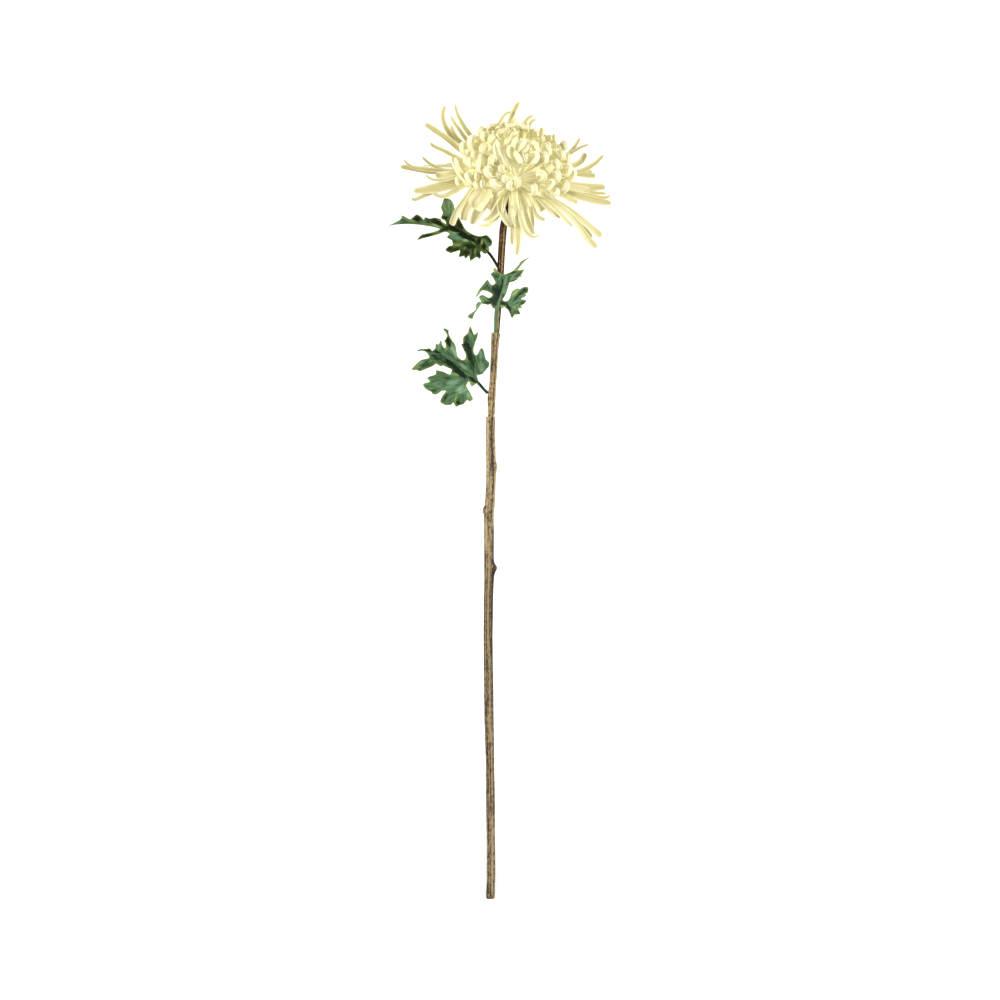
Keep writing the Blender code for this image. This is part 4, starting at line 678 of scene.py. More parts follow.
# Upper leaf. The darkest of the three, seen at a slant: folded along its midrib, with its outer half
# drawn out to the left and its lower lobes hanging towards the front. Its petiole is thin and dark.
UPPER_OUTLINE = [
    (489.5, 250), (488.7, 247), (491.5, 245.5), (492.3, 242), (491, 239), (486.5, 235), (480, 236.3),
    (473, 234.5), (466, 230), (462, 223.5), (458.8, 217), (456.5, 219.5), (455.5, 224), (453.8, 219),
    (454.5, 215), (455, 210), (453.5, 204), (451, 199.8), (448, 198.2), (444, 198.2), (442.3, 203),
    (441, 207.5), (442.8, 212.5), (441, 218), (445, 220.5), (446, 224), (442, 221.5), (440.5, 219),
    (435, 217.5), (429.5, 218.5), (425.3, 217), (423.5, 219.7), (421.3, 217), (416.5, 214.2),
    (410.3, 219), (404, 216), (400, 215.3), (402, 217), (399.5, 220), (393, 223.5), (387.8, 226.5),
    (394, 224.7), (408, 223.9), (420, 224.7), (432, 226.6), (440, 229), (435, 231.4), (428, 233.3),
    (421.5, 234.8), (417.2, 240), (424, 238), (436, 234.9), (445, 231.8), (449.5, 233.7), (447, 237.3),
    (452, 240.5), (452.5, 245.5), (449, 246.2), (445.3, 250.3), (451, 253.3), (460, 250.5), (458.7, 257),
    (464, 256.5), (465.5, 259), (469, 255.8), (470.3, 261.2), (475, 258), (477, 257.3), (479.5, 259),
    (481, 257), (480.5, 254), (481, 251.3), (485.5, 254)]
UPPER_RIB = [
    (498.6, 268), (493.5, 259.5), (490, 254.5), (486, 250.3), (475, 240), (465, 233), (455, 228),
    (445, 226), (435, 223.6), (422, 222.3), (408, 221.4)]
UPPER_VEINS = [
    [(484, 248.5), (487, 243), (488.5, 239)], [(483.5, 249), (483.5, 252.5)],
    [(479, 243.5), (477.5, 250), (479, 257)], [(476, 241), (472, 249), (470.7, 259)],
    [(473.5, 249), (474, 256.5)], [(472, 238), (464, 247), (461, 254.5)], [(466.5, 244.5), (466.5, 256)],
    [(468, 236), (458, 243.5), (449, 250)], [(464, 232.5), (456, 236.5), (449.5, 237)],
    [(458.5, 229.5), (457, 222.5)], [(455, 228), (448.5, 214), (446.5, 200.5)],
    [(450, 218), (451.5, 207)], [(449, 215.5), (443.5, 209)], [(445, 226), (438.5, 220.5)],
    [(440, 224.7), (429, 220)], [(450, 230.5), (436, 233), (421, 237.5)], [(424, 222.5), (416.5, 216)],
    [(414, 221.8), (402, 216.5)]]
# Painted shade, pale wax with painted highlights, and painted light of the upper leaf, as for the lower one
UPPER_PAINTED_SHADE = [
    (489.3, 241, 4, 1.1, -60, 0.8), (484.5, 244, 4, 1.2, -60, 0.7), (474, 252, 9, 4, -5, 0.5),
    (461, 234, 20, 3.6, -30, 1), (487.5, 241, 5, 3, -60, 0.45), (466, 253, 9, 4, -10, 0.8),
    (455, 250.5, 5, 2.5, 20, 0.8), (476.5, 236.3, 10, 1.6, -5, 1.1), (434.6, 221.6, 10, 3, -18, 1.3),
    (416.7, 218.3, 4.5, 2.5, 0, 0.9), (427, 236, 10, 1.6, 22, 0.9), (442.4, 230.4, 6, 1.6, 10, 1),
    (445, 217.6, 3.5, 3, 0, 0.8), (459.6, 224.5, 6, 2.8, -60, 1), (469.5, 247.5, 6, 3.4, -30, 0.75),
    (479, 255, 3, 3, 0, 0.9), (471.5, 258.5, 3, 2, 0, 1), (461, 255.8, 3, 2, 0, 0.9),
    (449.2, 249.5, 4, 2, 30, 1), (465.5, 255.5, 3, 1.5, 0, 0.9), (483.7, 247.6, 4, 2, -60, 0.9),
    (479, 241, 4, 2, 80, 0.9), (474, 246, 6, 4, 0, 0.6)]
UPPER_WAX_AND_HIGHLIGHT = [
    (466.5, 240.6, 3, 1.2, -20, 1.4), (455.5, 235.8, 8, 4, -20, 1.1), (449, 206, 10, 7, 80, 1.5),
    (450, 215, 4, 4, 0, 0.8), (487, 243, 4.5, 3, -50, 0.6), (464, 240.2, 3.5, 1.4, -20, 1.6),
    (407.8, 219.3, 8, 2, -20, 0.7), (397, 223, 6, 1.6, 15, 0.5), (424, 223, 5, 2, -10, 0.7),
    (435, 225.6, 6, 1.2, -15, 0.7)]
UPPER_PAINTED_LIGHT = [
    (441, 221.6, 7, 0.7, -35, 0.8), (445.5, 224.8, 6, 0.6, -30, 0.7), (473, 243, 6, 0.6, -45, 0.7),
    (449, 207, 9, 6, 80, 0.55), (457.4, 244.5, 5, 2.4, 15, 0.7), (487.4, 250, 3, 2, 0, 1),
    (470.5, 253, 5, 1.2, 80, 0.4), (475.6, 250.5, 5, 1, 80, 0.4), (432.4, 223, 9, 0.8, -32, 1),
    (408.3, 219, 9, 0.8, -26, 1), (451.5, 232.4, 8, 0.7, -4, 1), (465, 240.6, 2.5, 1.2, 0, 1),
    (482, 242, 3, 1, 80, 0.9), (436, 232, 7, 0.8, 15, 0.8), (464, 250, 5, 1.4, 60, 0.35)]
upper_green = leaf_green("dark_leaf_tissue", "2C4424", "0D1507", "566E38", "3B5A42", "77893A", "6F987C",
                         "8C9C4E")
upper_blade = Blade(UPPER_RIB, UPPER_VEINS, UPPER_OUTLINE, depth=6.0, along=-0.08, arch=-0.0010,
                    across=0.62, fold=0.15, wave=1.5, wave_length=32.0, shown=1.0, crisp=1.2,
                    dark=UPPER_PAINTED_SHADE, pale=UPPER_WAX_AND_HIGHLIGHT, painted_light=UPPER_PAINTED_LIGHT)
leaf("leaf_upper", upper_blade, (1.5, 3.0, 4.6), 1.3 * MM, 1.0, 0.8, upper_green)


# Calyx. The green cup that holds the bloom on the stem: two rows of thirteen pointed bracts, each
# with a thin, pale margin, that overlap round a fleshy seat. Only the sides and the back show it.
DOME_AXIS = unit(np.array([0.13, 0.92, 0.36]))
DOME_RADIUS, DOME_HEIGHT = 51.0 * MM, 43.0 * MM     # to the middle of the outer hooks
CENTRE = at(514.0, 178.0, 12.0)
FRONT = unit(TO_FRONT - DOME_AXIS * DOME_AXIS[2])
RIGHT = np.cross(DOME_AXIS, FRONT)
CORE_SHARE, CORE_EDGE, CORE_FOOT = 0.62, math.radians(95.0), math.radians(125.0)
CORE_FOOT_RADIUS, CORE_FOOT_DROP = 13.0 * MM, 8.0 * MM
CALYX_HEIGHT, CALYX_NECK = 9.5 * MM, 3.6 * MM
BRACTS, BRACT_RINGS = 13, 9
BRACT_WIDTH, BRACT_THICKNESS = 6.6 * MM, 0.35 * MM


def around_axis(turn):
    return FRONT * math.cos(turn) + RIGHT * math.sin(turn)


def cup_radius(share):
    return CALYX_NECK + (CORE_FOOT_RADIUS - CALYX_NECK) * math.sin(share * math.pi / 2) ** 0.8


def cup_point(share, turn, proud=0.0):
    """Point of the cup: share 0 at its neck and 1 at its rim, turn from the front to the right."""
    rise = CORE_FOOT_DROP + CALYX_HEIGHT * (1.0 - share)
    return CENTRE + around_axis(turn) * (cup_radius(share) + proud) - DOME_AXIS * rise


def calyx_parts():
    """The cup first, then each bract as a thin shell of its own."""
    shares = np.concatenate([np.linspace(0.0, 1.0, 14), [1.0]])
    turns = round_angles(52)
    points = [cup_point(s, -t) for s in shares[:-1] for t in turns]
    points += [cup_point(1.0, -t, -2.0 * MM) for t in turns]
    faces = ring_faces(len(shares), len(turns))
    margins = [0.0] * len(points)
    across = np.linspace(-1, 1, 7)
    skin = [(s, 0.0) for s in across] + [(s, BRACT_THICKNESS) for s in across[::-1]]
    for row, (low, high) in enumerate(((0.20, 1.05), (0.02, 0.66))):
        for k in range(BRACTS):
            middle = 2 * math.pi * (k + 0.5 * row) / BRACTS
            faces += ring_faces(BRACT_RINGS, len(skin), len(points))
            for t in np.linspace(0, 1, BRACT_RINGS):
                share = low + (high - low) * t
                half = BRACT_WIDTH / 2 * (1.0 - 0.12 * row) * (1.0 - t ** 2.6) ** 0.8 + 0.15 * MM
                lift = (0.35 + 0.35 * row + 0.8 * t ** 3) * MM
                radius = cup_radius(min(share, 1))
                for s, inner in skin:
                    proud = lift - inner - 0.5 * MM * s * s
                    points.append(cup_point(share, middle - s * half / radius, proud))
                    margins.append(abs(s) ** 3 * 0.8 + 0.3 * t)
    return points, faces, margins


# Soft bract tissue: matt, mottled in two greens, with a straw margin where it dries
bract_green, bract_shader = new_material("bract_tissue")
bract_margin = add(bract_green, "Attribute", attribute_name="margin")
bract_place = add(bract_green, "TexCoord")
bract_mottle = add(bract_green, "TexNoise", {"Vector": bract_place, "Scale": 1.0 / (2.0 * MM), "Detail": 4.0})
bract_base = add(bract_green, "ValToRGB", {0: bract_mottle}, [(0.35, "42602F"), (0.7, "6C8A48")])
bract_face = add(bract_green, "Mix", {0: bract_margin, 6: bract_base, 7: colour("B9B478")}, data_type="RGBA")
wire(bract_green, bract_shader, {"Base Color": bract_face, "Roughness": 0.55})
cup_points, cup_faces, cup_margins = calyx_parts()
grown("calyx_bracts", cup_points, cup_faces, bract_green, "calyx", {"margin": cup_margins})


# Bloom: what all of its florets share. Each is a strap of petal tissue, rolled into a channel that
# opens to the middle of the flower, with two creases along its back and a thin, blunt tip. It grows
# from a head in the middle; the ones under the lying bloom bend along the surface.
CUT_END_RADIUS = 3.98 * MM              # the stem rests on its cut end
LIFT = CUT_END_RADIUS * math.cos(SLOPE)
UP = np.array(LAID.to_3x3().inverted()) @ np.array([0.0, 0.0, 1.0])
SOFT_REACH = 7.0 * MM                   # florets start to bend this far above the surface
GOLDEN_ANGLE = math.pi * (3.0 - math.sqrt(5.0))
PETAL_THICKNESS = 0.5 * MM
CREASE_AT = 0.34                        # share of a floret's half width at which its two creases run
ROOT_SHARE = 0.93                       # how far out in the head a floret starts


def height(points):
    """Height of points over the surface that the flower lies on."""
    return points @ UP + LIFT


def rest_on_surface(path):
    high = height(path)
    soft = SOFT_REACH * np.exp(high / SOFT_REACH - 1.0)
    return path + UP * np.where(high < SOFT_REACH, soft - high, 0.0)[:, None]


def dome(polar, turn, share=1.0):
    """Point of the dome of incurved florets: polar from its axis, turn from the front to the right."""
    across = around_axis(turn) * DOME_RADIUS * math.sin(polar)
    return CENTRE + (across + DOME_AXIS * DOME_HEIGHT * math.cos(polar)) * share


def core(polar, turn, share=1.0):
    """Point of the head that the florets grow from: a smaller dome, narrowed to a foot below."""
    if polar <= CORE_EDGE:
        return dome(polar, turn, CORE_SHARE * share)
    edge = dome(CORE_EDGE, turn, CORE_SHARE) - CENTRE
    foot = around_axis(turn) * CORE_FOOT_RADIUS - DOME_AXIS * CORE_FOOT_DROP
    return CENTRE + (edge + (foot - edge) * (polar - CORE_EDGE) / (CORE_FOOT - CORE_EDGE)) * share


def dome_angles(point):
    offset = point - CENTRE
    forward, right = offset.dot(FRONT) / DOME_RADIUS, offset.dot(RIGHT) / DOME_RADIUS
    polar = math.atan2(math.hypot(forward, right), offset.dot(DOME_AXIS) / DOME_HEIGHT)
    return polar, math.atan2(right, forward)


def dome_front(x, y):
    """Front point of the dome seen at pixel (x, y)."""
    start = at(x, y) - CENTRE
    shape = (np.eye(3) - np.outer(DOME_AXIS, DOME_AXIS)) / DOME_RADIUS ** 2
    shape += np.outer(DOME_AXIS, DOME_AXIS) / DOME_HEIGHT ** 2
    a, b, c = TO_FRONT @ shape @ TO_FRONT, 2 * TO_FRONT @ shape @ start, start @ shape @ start - 1.0
    room = b * b - 4 * a * c
    near = CENTRE[2]
    far = (-b + math.sqrt(room)) / (2 * a) if room > 0 else near
    return at(x, y) + TO_FRONT * max(far, near)


def smooth_values(places, values, at_places):
    """Values along a floret, eased from one place to the next."""
    k = np.clip(np.searchsorted(places, at_places, "right") - 1, 0, len(places) - 2)
    places, values = np.asarray(places), np.asarray(values)
    share = np.clip((at_places - places[k]) / (places[k + 1] - places[k]), 0, 1)
    return values[k] + (values[k + 1] - values[k]) * (share * share * (3 - 2 * share))


def toward_tip(count):
    """Stations from 0 to 1 that lie closer together at the tip, so that it can be round."""
    return 1.0 - (1.0 - np.linspace(0, 1, count)) ** 1.7


def swell(count, root, belly, tip, peak=0.5, end=0.05):
    """Widths along a long floret: narrow root, widest at peak, then narrower to a tip that is round
    over the last share, end."""
    t = toward_tip(count)
    rising = root + (belly - root) * np.sin(np.minimum(t / peak, 1.0) * math.pi / 2)
    falling = tip + (belly - tip) * np.maximum(np.cos((t - peak) / (1 - peak) * math.pi / 2), 0.0) ** 0.7
    blunt = np.sqrt(1.0 - (1.0 - np.clip((1.0 - t) / end, 0.02, 1.0)) ** 2)
    return np.where(t < peak, rising, falling) * blunt


class Florets:
    """Gathers florets of one kind into one piece."""

    def __init__(self):
        self.points, self.faces, self.start = [], [], 0
        self.marks = {"run": [], "across": [], "tone_and_shade": [], "depth": [], "inner": []}

    def add(self, path, side, widths, opening, depths, creases, tone_and_shade, twist=0.0, points_across=11, roll=0.0):
        """One floret as a closed thin shell: rings along the path, each a channel of tissue. opening is
        how far round the channel rolls, in radians to each side, and depths how deep it is."""
        count = len(path)
        opening, creases = [np.broadcast_to(values, count)[:, None] for values in (opening, creases)]
        along = tangents(path)
        across = carried(path, side)
        outer = np.cross(across, along)
        turn = (roll + twist * np.linspace(0, 1, count))[:, None]
        across, outer = (across * np.cos(turn) + outer * np.sin(turn),
                         outer * np.cos(turn) - across * np.sin(turn))
        s = np.linspace(-1, 1, points_across)[None, :]
        angle = s * opening
        x = widths[:, None] / 2 * np.sin(angle) / np.sin(np.minimum(opening, math.pi / 2))
        z = -depths[:, None] * (1.0 - np.cos(angle))
        valleys = np.exp(-((np.abs(s) - CREASE_AT) / 0.13) ** 2) - 0.4 * np.exp(-(s / 0.18) ** 2)
        z = z - creases * valleys
        thick = PETAL_THICKNESS * np.minimum(1.0, widths / (2.0 * MM))[:, None] * (1.0 - 0.5 * s ** 4)
        ring_x = np.concatenate([x, (x - thick * np.sin(angle))[:, ::-1]], 1)
        ring_z = np.concatenate([z, (z - thick * np.cos(angle))[:, ::-1]], 1)
        points = path[:, None] + across[:, None] * ring_x[..., None] + outer[:, None] * ring_z[..., None]
        points = points.reshape(-1, 3)
        points = points - UP * np.minimum(height(points), 0.0)[:, None]
        length = np.concatenate([[0.0], np.cumsum(np.linalg.norm(np.diff(path, axis=0), axis=1))])
        offset = points - CENTRE
        high = offset @ DOME_AXIS
        flat = np.linalg.norm(offset - high[:, None] * DOME_AXIS, axis=1)
        self.faces += ring_faces(count, 2 * points_across, self.start)
        self.start += len(points)
        self.points.append(points)
        self.marks["run"].append(np.repeat(length / length[-1], 2 * points_across))
        self.marks["across"].append(np.tile(np.concatenate([s[0], s[0][::-1]]), count))
        self.marks["tone_and_shade"].append(np.full(len(points), float(tone_and_shade)))
        self.marks["depth"].append(1.0 - np.hypot(high / DOME_HEIGHT, flat / DOME_RADIUS))
        self.marks["inner"].append(np.tile(np.repeat([0.0, 1.0], points_across), count))

    def finish(self, name, finish, node=None):
        marks = {mark: np.concatenate(values) for mark, values in self.marks.items()}
        grown(name, np.vstack(self.points), self.faces, finish, node, marks)


def petal(name, base, mid, tip, deep, blush, channel, through, inward):
    """Petal tissue: soft, satin and slightly see-through, so light comes round its rolled edges. Painted
    shade makes it greener in the depths of the dome, in its creases and down the middle of its channel,
    and a painted highlight makes it paler along its rims; it is faintly peach at its very tip. channel
    is how much painted shade darkens the middle of the strap, through and inward how strongly its inner
    face and the depths of the dome glow, a painted light for the light that comes through the florets."""
    made, shader = new_material(name)
    run, across, tone_and_shade, depth, inner = [add(made, "Attribute", attribute_name=key)
                                       for key in ("run", "across", "tone_and_shade", "depth", "inner")]
    # Clouds of tone 6 mm across, as the tissue is not even
    cloud = add(made, "TexNoise", {"Vector": add(made, "TexCoord"), "Scale": 1.0 / (6.0 * MM), "Detail": 2.0})
    sunk = add(made, "MapRange", {0: depth, 1: -0.04, 2: 0.20})
    # Lengthwise veins, four across a floret, drawn as faint darker lines
    wave = add(made, "Math", {0: across, 1: 12.5}, operation="MULTIPLY")
    wave = add(made, "Math", {0: wave}, operation="SINE")
    off = add(made, "Math", {0: across}, operation="ABSOLUTE")
    crease = add(made, "Math", {0: off, 1: CREASE_AT}, operation="SUBTRACT")
    crease = add(made, "Math", {0: crease}, operation="ABSOLUTE")
    # Painted shade down the middle of the channel, deeper near the tip and with tone_and_shade
    middle = add(made, "MapRange", {0: off, 1: 0.55, 2: 0.05, 4: channel})
    shown = add(made, "MapRange", {0: run, 1: 0.78, 2: 0.95, 4: 0.7})
    shown = add(made, "Math", {0: shown, 1: tone_and_shade}, operation="ADD")
    face = add(made, "ValToRGB", {0: run}, [(0.10, base), (0.92, tip), (0.5, mid)])
    # Layers over the colour along the floret: painted shade in the depths of the dome, clouds of tone that
    # tone_and_shade deepens (random tone and painted shade), the veins, painted shade in the creases and down
    # the channel, a painted highlight along the rims, and the peach tip
    for share, code in (
            (add(made, "Math", {0: sunk, 1: 0.7}, operation="MULTIPLY"), deep),
            (add(made, "Math", {0: cloud, 1: tone_and_shade}, operation="MULTIPLY"), deep),
            (add(made, "MapRange", {0: wave, 1: 0.0, 2: 1.0, 4: 0.52}), deep),
            (add(made, "MapRange", {0: crease, 1: 0.10, 2: 0.02, 4: 0.5}), deep),
            (add(made, "Math", {0: middle, 1: shown}, operation="MULTIPLY", use_clamp=True), deep),
            (add(made, "MapRange", {0: off, 1: 0.72, 2: 0.95, 4: 0.7}), tip),
            (add(made, "MapRange", {0: run, 1: 0.96, 2: 1.0, 4: 0.35}), blush)):
        face = add(made, "Mix", {0: share, 6: face, 7: colour(code)}, data_type="RGBA")
    bump = add(made, "Bump", {"Height": wave, "Distance": 0.05 * MM, "Strength": 0.5})
    # Painted glow: an emission on the inner faces and in the depths of the bloom stands in for light
    # that comes through the florets around
    glow = add(made, "Math", {0: inner, 1: through}, operation="MULTIPLY")
    glow = add(made, "Math", {0: sunk, 1: inward, 2: glow}, operation="MULTIPLY_ADD")
    wire(made, shader, {
        "Base Color": face, "Normal": bump, "Emission Color": colour("D9D7A6"), "Emission Strength": glow,
        "Roughness": 0.5, "Specular IOR Level": 0.5, "Sheen Weight": 0.25, "Sheen Roughness": 0.4,
        "Sheen Tint": colour("F2EAB8"), "Subsurface Weight": 0.25, "Subsurface Radius": (1.0, 0.8, 0.45),
        "Subsurface Scale": 1.6 * MM})
    return made


# The inner and crown tissues are darker copies of the ivory one: painted shade for the lower layer of
# florets, and for the dome's top together with more painted glow
ivory = petal("ivory_petal_tissue", "D8D0A3", "E2DBB4", "EBE5C5", "C6BE88", "E6CFAC", 0.0, 0.24, 0.24)
crown_ivory_shade_and_glow = petal("crown_petal_shade_and_glow", "CFC797", "D8D0A5", "E0D9B4", "C4BC86", "E6CFAC", 0.0, 0.24, 0.34)
inner_ivory_painted_shade = petal("inner_petal_tissue_painted_shade", "CDC592", "D4CC9E", "DAD2A8", "BDB57E", "E6CFAC", 0.3, 0.16, 0.24)
ray_ivory = petal("ray_petal_tissue", "D5CD9C", "DBD4A8", "DFD8AF", "B8AF75", "E6C6A4", 0.85, 0.06, 0.24)


# Head and incurved florets. The head is the closed middle that every floret grows from. The incurved
# florets stand out of it in layers, each hooded: it bellies out, rounds over and rolls back inwards.
# Pixel column and row, width, half length and half depth in mm, lean and turn in degrees, mm below
# the dome. A floret leans to the right of upright, and turns its belly from the front to the right.
FRONT_HOOKS = [
    (472, 144, 8, 8, 6.4, -8, -74, 0), (463, 149.5, 7, 7, 5.2, -15, -64, 0),
    (482.5, 149.5, 8, 5.6, 5.2, 10, -69, 0), (491.5, 161.5, 8, 5.8, 5.4, 10, -69, 0),
    (470, 164, 7, 5.5, 4.8, -15, -69, 0), (479.5, 166.5, 7, 7, 5, 0, -69, 0),
    (488.5, 174.5, 8.4, 6.6, 5.7, -35, -69, 0), (494.5, 186, 8.6, 6, 5.6, -48, -64, 0),
    (459, 167, 6.5, 8.8, 4.2, -28, -69, 0), (469, 180, 6.5, 6.4, 4.2, -30, -69, 0),
    (482.8, 185, 6, 4.4, 4, -5, -45, 1), (457.5, 182, 5.5, 4.6, 3.4, -15, -67, 0),
    (476.8, 177.5, 5.2, 3.6, 3.4, 0, -30, 1), (501.5, 170, 6, 4.2, 3.8, -15, -40, 0),
    (505, 180, 6, 4.2, 3.6, 0, -32, 0), (491, 139.5, 8, 4.8, 4.8, 20, -64, 0),
    (483, 137, 7, 4.8, 4, 0, -69, 0), (480.2, 131.2, 8, 4.6, 4, 8, -60, 0),
    (486, 132, 6, 4.2, 3.4, 10, -50, 0), (509.5, 153, 6.4, 5.8, 4, -8, -69, 0),
    (506.5, 142.5, 6, 4.4, 3.8, 10, -55, 1), (528, 160, 6.2, 4.7, 4, -10, 71, 0),
    (534, 160.5, 9, 6.8, 6, 40, 67, 0), (536.5, 149.5, 6.6, 7.4, 4.4, -8, 71, 0),
    (547.5, 150, 6.6, 6, 5, -30, 76, 0), (545.3, 158.5, 8, 5.6, 4.2, -10, 76, 0),
    (542.5, 176.5, 9, 5.6, 5.6, -25, 74, 0), (535, 190.3, 7.4, 5.4, 4.6, 0, 44, 0),
    (549, 187, 8.6, 6.6, 5.4, 55, 81, 0), (557.5, 177, 10, 6.2, 5.6, 0, 64, 0),
    (557, 165, 7, 5.2, 4, -10, 69, 0), (563.5, 156, 7.4, 4.8, 4, 0, 48, 0),
    (565, 145, 5.4, 4.4, 3.4, -15, 52, 0), (565.5, 188, 10, 6, 5, 20, 71, 0),
    (568, 171, 8, 6.4, 5.4, 25, 88, 0), (573, 175.5, 8, 7, 6.6, 44, 92, 2),
    (568.5, 160, 5, 6, 3.4, 5, 69, 0), (555, 195.5, 8, 6, 5, 60, 71, 1),
    (510.6, 185.6, 5.4, 4.8, 4, 14, -40, 0), (516.6, 182.8, 6.2, 5.4, 4.2, -8, 30, 0),
    (552, 170, 6.4, 5, 3.6, -20, 50, 3), (501, 160, 6, 5.4, 3.6, -25, -40, 4),
    (470, 154, 6, 5, 4, 0, -69, 4), (478, 157, 6, 5, 4, 0, -69, 4), (463, 160, 6, 5, 4, -10, -81, 3),
    (498, 177, 6.4, 5, 4, -30, -30, 3), (474, 187, 6, 5, 4, -20, -69, 3),
    (488, 166, 6, 5, 4, -10, -69, 4)]
# Florets that stand nearly straight: width, width at the tip, then column, row and mm over the dome
FRONT_STRAPS = [
    (3.8, 2.6, (508, 172, -7), (504, 163, -2), (500.4, 153, 0.5), (497.6, 145, 1), (496, 139.6, 0)),
    (3.6, 2.4, (505, 173, -8), (500, 163, -3), (496.4, 155.5, 0), (494.6, 149.5, 0.5), (494.8, 143.8, 0)),
    (3.6, 2.4, (510, 172, -7), (506.6, 163, -3), (504, 156, -1), (501.6, 149.5, -0.5)),
    (4.6, 3.4, (515, 158, -4), (513.8, 151.5, 1.5), (513.4, 145.5, 2.5), (515.8, 138.8, 1.5)),
    (3.6, 2.8, (518, 153, -3), (519, 147, 0.5), (520.6, 142.5, 1), (521.2, 138.4, 0)),
    (4.2, 2.6, (514.5, 157, -2), (518.6, 151.8, 2.5), (523, 147.4, 3), (526.2, 142.2, 1.5)),
    (3.4, 2.4, (519, 159, -3), (523, 154.4, 1.5), (526.6, 150, 2), (528.6, 145.2, 1)),
    (4.8, 3.2, (510.6, 147, -2), (513.6, 153.5, 2.5), (517.2, 158.5, 3), (521.6, 165, 1.5)),
    (3.8, 3, (520, 150, -3), (521.8, 155.5, 1), (523.6, 160, 1.5), (525.6, 164.4, 0.5)),
    (3.2, 2.4, (468, 190, -6), (461, 178, 0), (455.4, 167.4, 1), (451.4, 157.6, 0))]
# The front florets part round one place, from which their smooth lower parts spread over the dome
PARTING = (518.0, 183.0)
PARTED = 46
FRONT_STATIONS = 22
HOOK_ROOM = 9.0 * MM
HOOK_COUNT, HOOK_INNER, HOOK_OUTER = 92, math.radians(26.0), math.radians(97.0)
HOOK_DEPTH = 4.6 * MM
# Smaller florets of the layer below: how many, from what angle, how far out and how far turned
FILL_COUNT, FILL_INNER, FILL_SHARE, FILL_TURN = 120, math.radians(14.0), 0.84, 1.1
SEED = 15


def hook_path(knob, out, up, half_length, half_depth, curl, rises, turns):
    """Path of an incurved floret: out of the head, then over a rounded tip and back inwards."""
    polar, turn = dome_angles(knob)
    start = knob - up * half_length
    root = core(min(polar + 0.25, CORE_FOOT - 0.3), turn, ROOT_SHARE)
    reach = np.linalg.norm(start - root)
    t = (np.arange(rises) / rises)[:, None]
    rise = eased(root, start, unit(root - CENTRE) * reach * 0.9, out * reach * 0.9, t)
    share = np.linspace(0, 1, turns)[:, None]
    angle = math.radians(-90.0) + (curl + math.radians(90.0)) * share
    tighter = 1.0 - 0.62 * np.clip((angle - math.radians(50.0)) / math.radians(190.0), 0, 1)
    over = knob + (out * half_depth * np.cos(angle) + up * half_length * np.sin(angle)) * tighter
    return rest_on_surface(np.vstack([rise, over]))


def add_hook(florets, draw, knob, out, up, width, half_length, half_depth, curl, facing=0.0, across=17,
             rises=5, turns=18):
    """facing rolls the belly of the channel towards the viewer, by its sign to the right or left."""
    path = hook_path(knob, out, up, half_length, half_depth * draw.uniform(0.95, 1.08), curl, rises, turns)
    station = np.concatenate([np.arange(rises) / rises, 1.0 + np.linspace(0, 1, turns)])
    widths = smooth_values([0.0, 0.5, 1.0, 1.36, 1.70, 2.0],
                           [3.4 * MM, width * 0.7, width * 0.92, width * 1.02, width * 0.88, width * 0.34],
                           station)
    opening = smooth_values([0.0, 0.9, 1.3, 2.0], [1.0, 1.15, 1.45, 1.2], station)
    depths = widths * smooth_values([0.0, 1.0, 1.4, 2.0], [0.30, 0.42, 0.56, 0.50], station)
    creases = MM * np.minimum(1.0, widths / (9.0 * MM))
    roll = facing + draw.choice((-1.0, 1.0)) * draw.uniform(0.2, 0.8) * (facing == 0.0)
    florets.add(path, np.cross(up, out), widths, opening, depths, creases, draw.uniform(0.0, 0.8),
                draw.uniform(-0.3, 0.3), across, roll)


def placed_hooks(places):
    """Florets of the front, each where the picture plane shows it."""
    result = []
    for column, row, width, half_length, half_depth, lean, turn, below in places:
        draw = random.Random(int(column * 10 + row))
        knob = dome_front(column, row)
        knob = knob - unit(knob - CENTRE) * below * MM
        lean, turn = math.radians(lean), math.radians(turn)
        up = np.array([math.sin(lean), math.cos(lean), 0.0])
        right = np.array([math.cos(lean), -math.sin(lean), 0.0])
        out = right * math.sin(turn) + TO_FRONT * math.cos(turn)
        knob = knob - out * half_depth * MM * 0.4
        curl = math.radians(draw.uniform(185.0, 235.0))
        facing = draw.uniform(*((-0.2, 0.2) if abs(turn) > 0.75 else (0.05, 0.4)))
        result.append((knob, out, up, width * MM, half_length * 1.06 * MM, half_depth * MM, curl,
                       math.copysign(1.0, turn) * facing))
    return result


def on_dome(draw, knob, lean, spread):
    """Directions of a floret at its place on the dome: outwards, turned a little, and along it."""
    out = unit(knob - CENTRE)
    up = DOME_AXIS - out * DOME_AXIS.dot(out)
    up = unit(up) if np.linalg.norm(up) > 0.05 else -FRONT
    up = up * math.cos(lean) + np.cross(out, up) * math.sin(lean)
    turn = draw.uniform(-spread, spread)
    return out * math.cos(turn) + np.cross(up, out) * math.sin(turn), up


def in_view(knob):
    """True where the placed florets of the front already fill the view."""
    column, row = seen_at(knob)
    return knob[2] > CENTRE[2] - 6.0 * MM and row > 128.0 and 452.0 < column < 578.0


# The bloom's skyline, as pixel columns and rows: no ruled floret stands higher
SKYLINE = [
    (466, 475, 483, 486, 490, 512, 516, 520, 528, 530, 533, 537, 540, 543, 547, 552, 558, 560, 566, 570,
     576),
    (137, 127, 128, 127, 122.5, 122.5, 119.5, 124, 123, 131, 128.5, 131, 131, 127.5, 134, 133, 133, 141,
     140, 148, 160)]


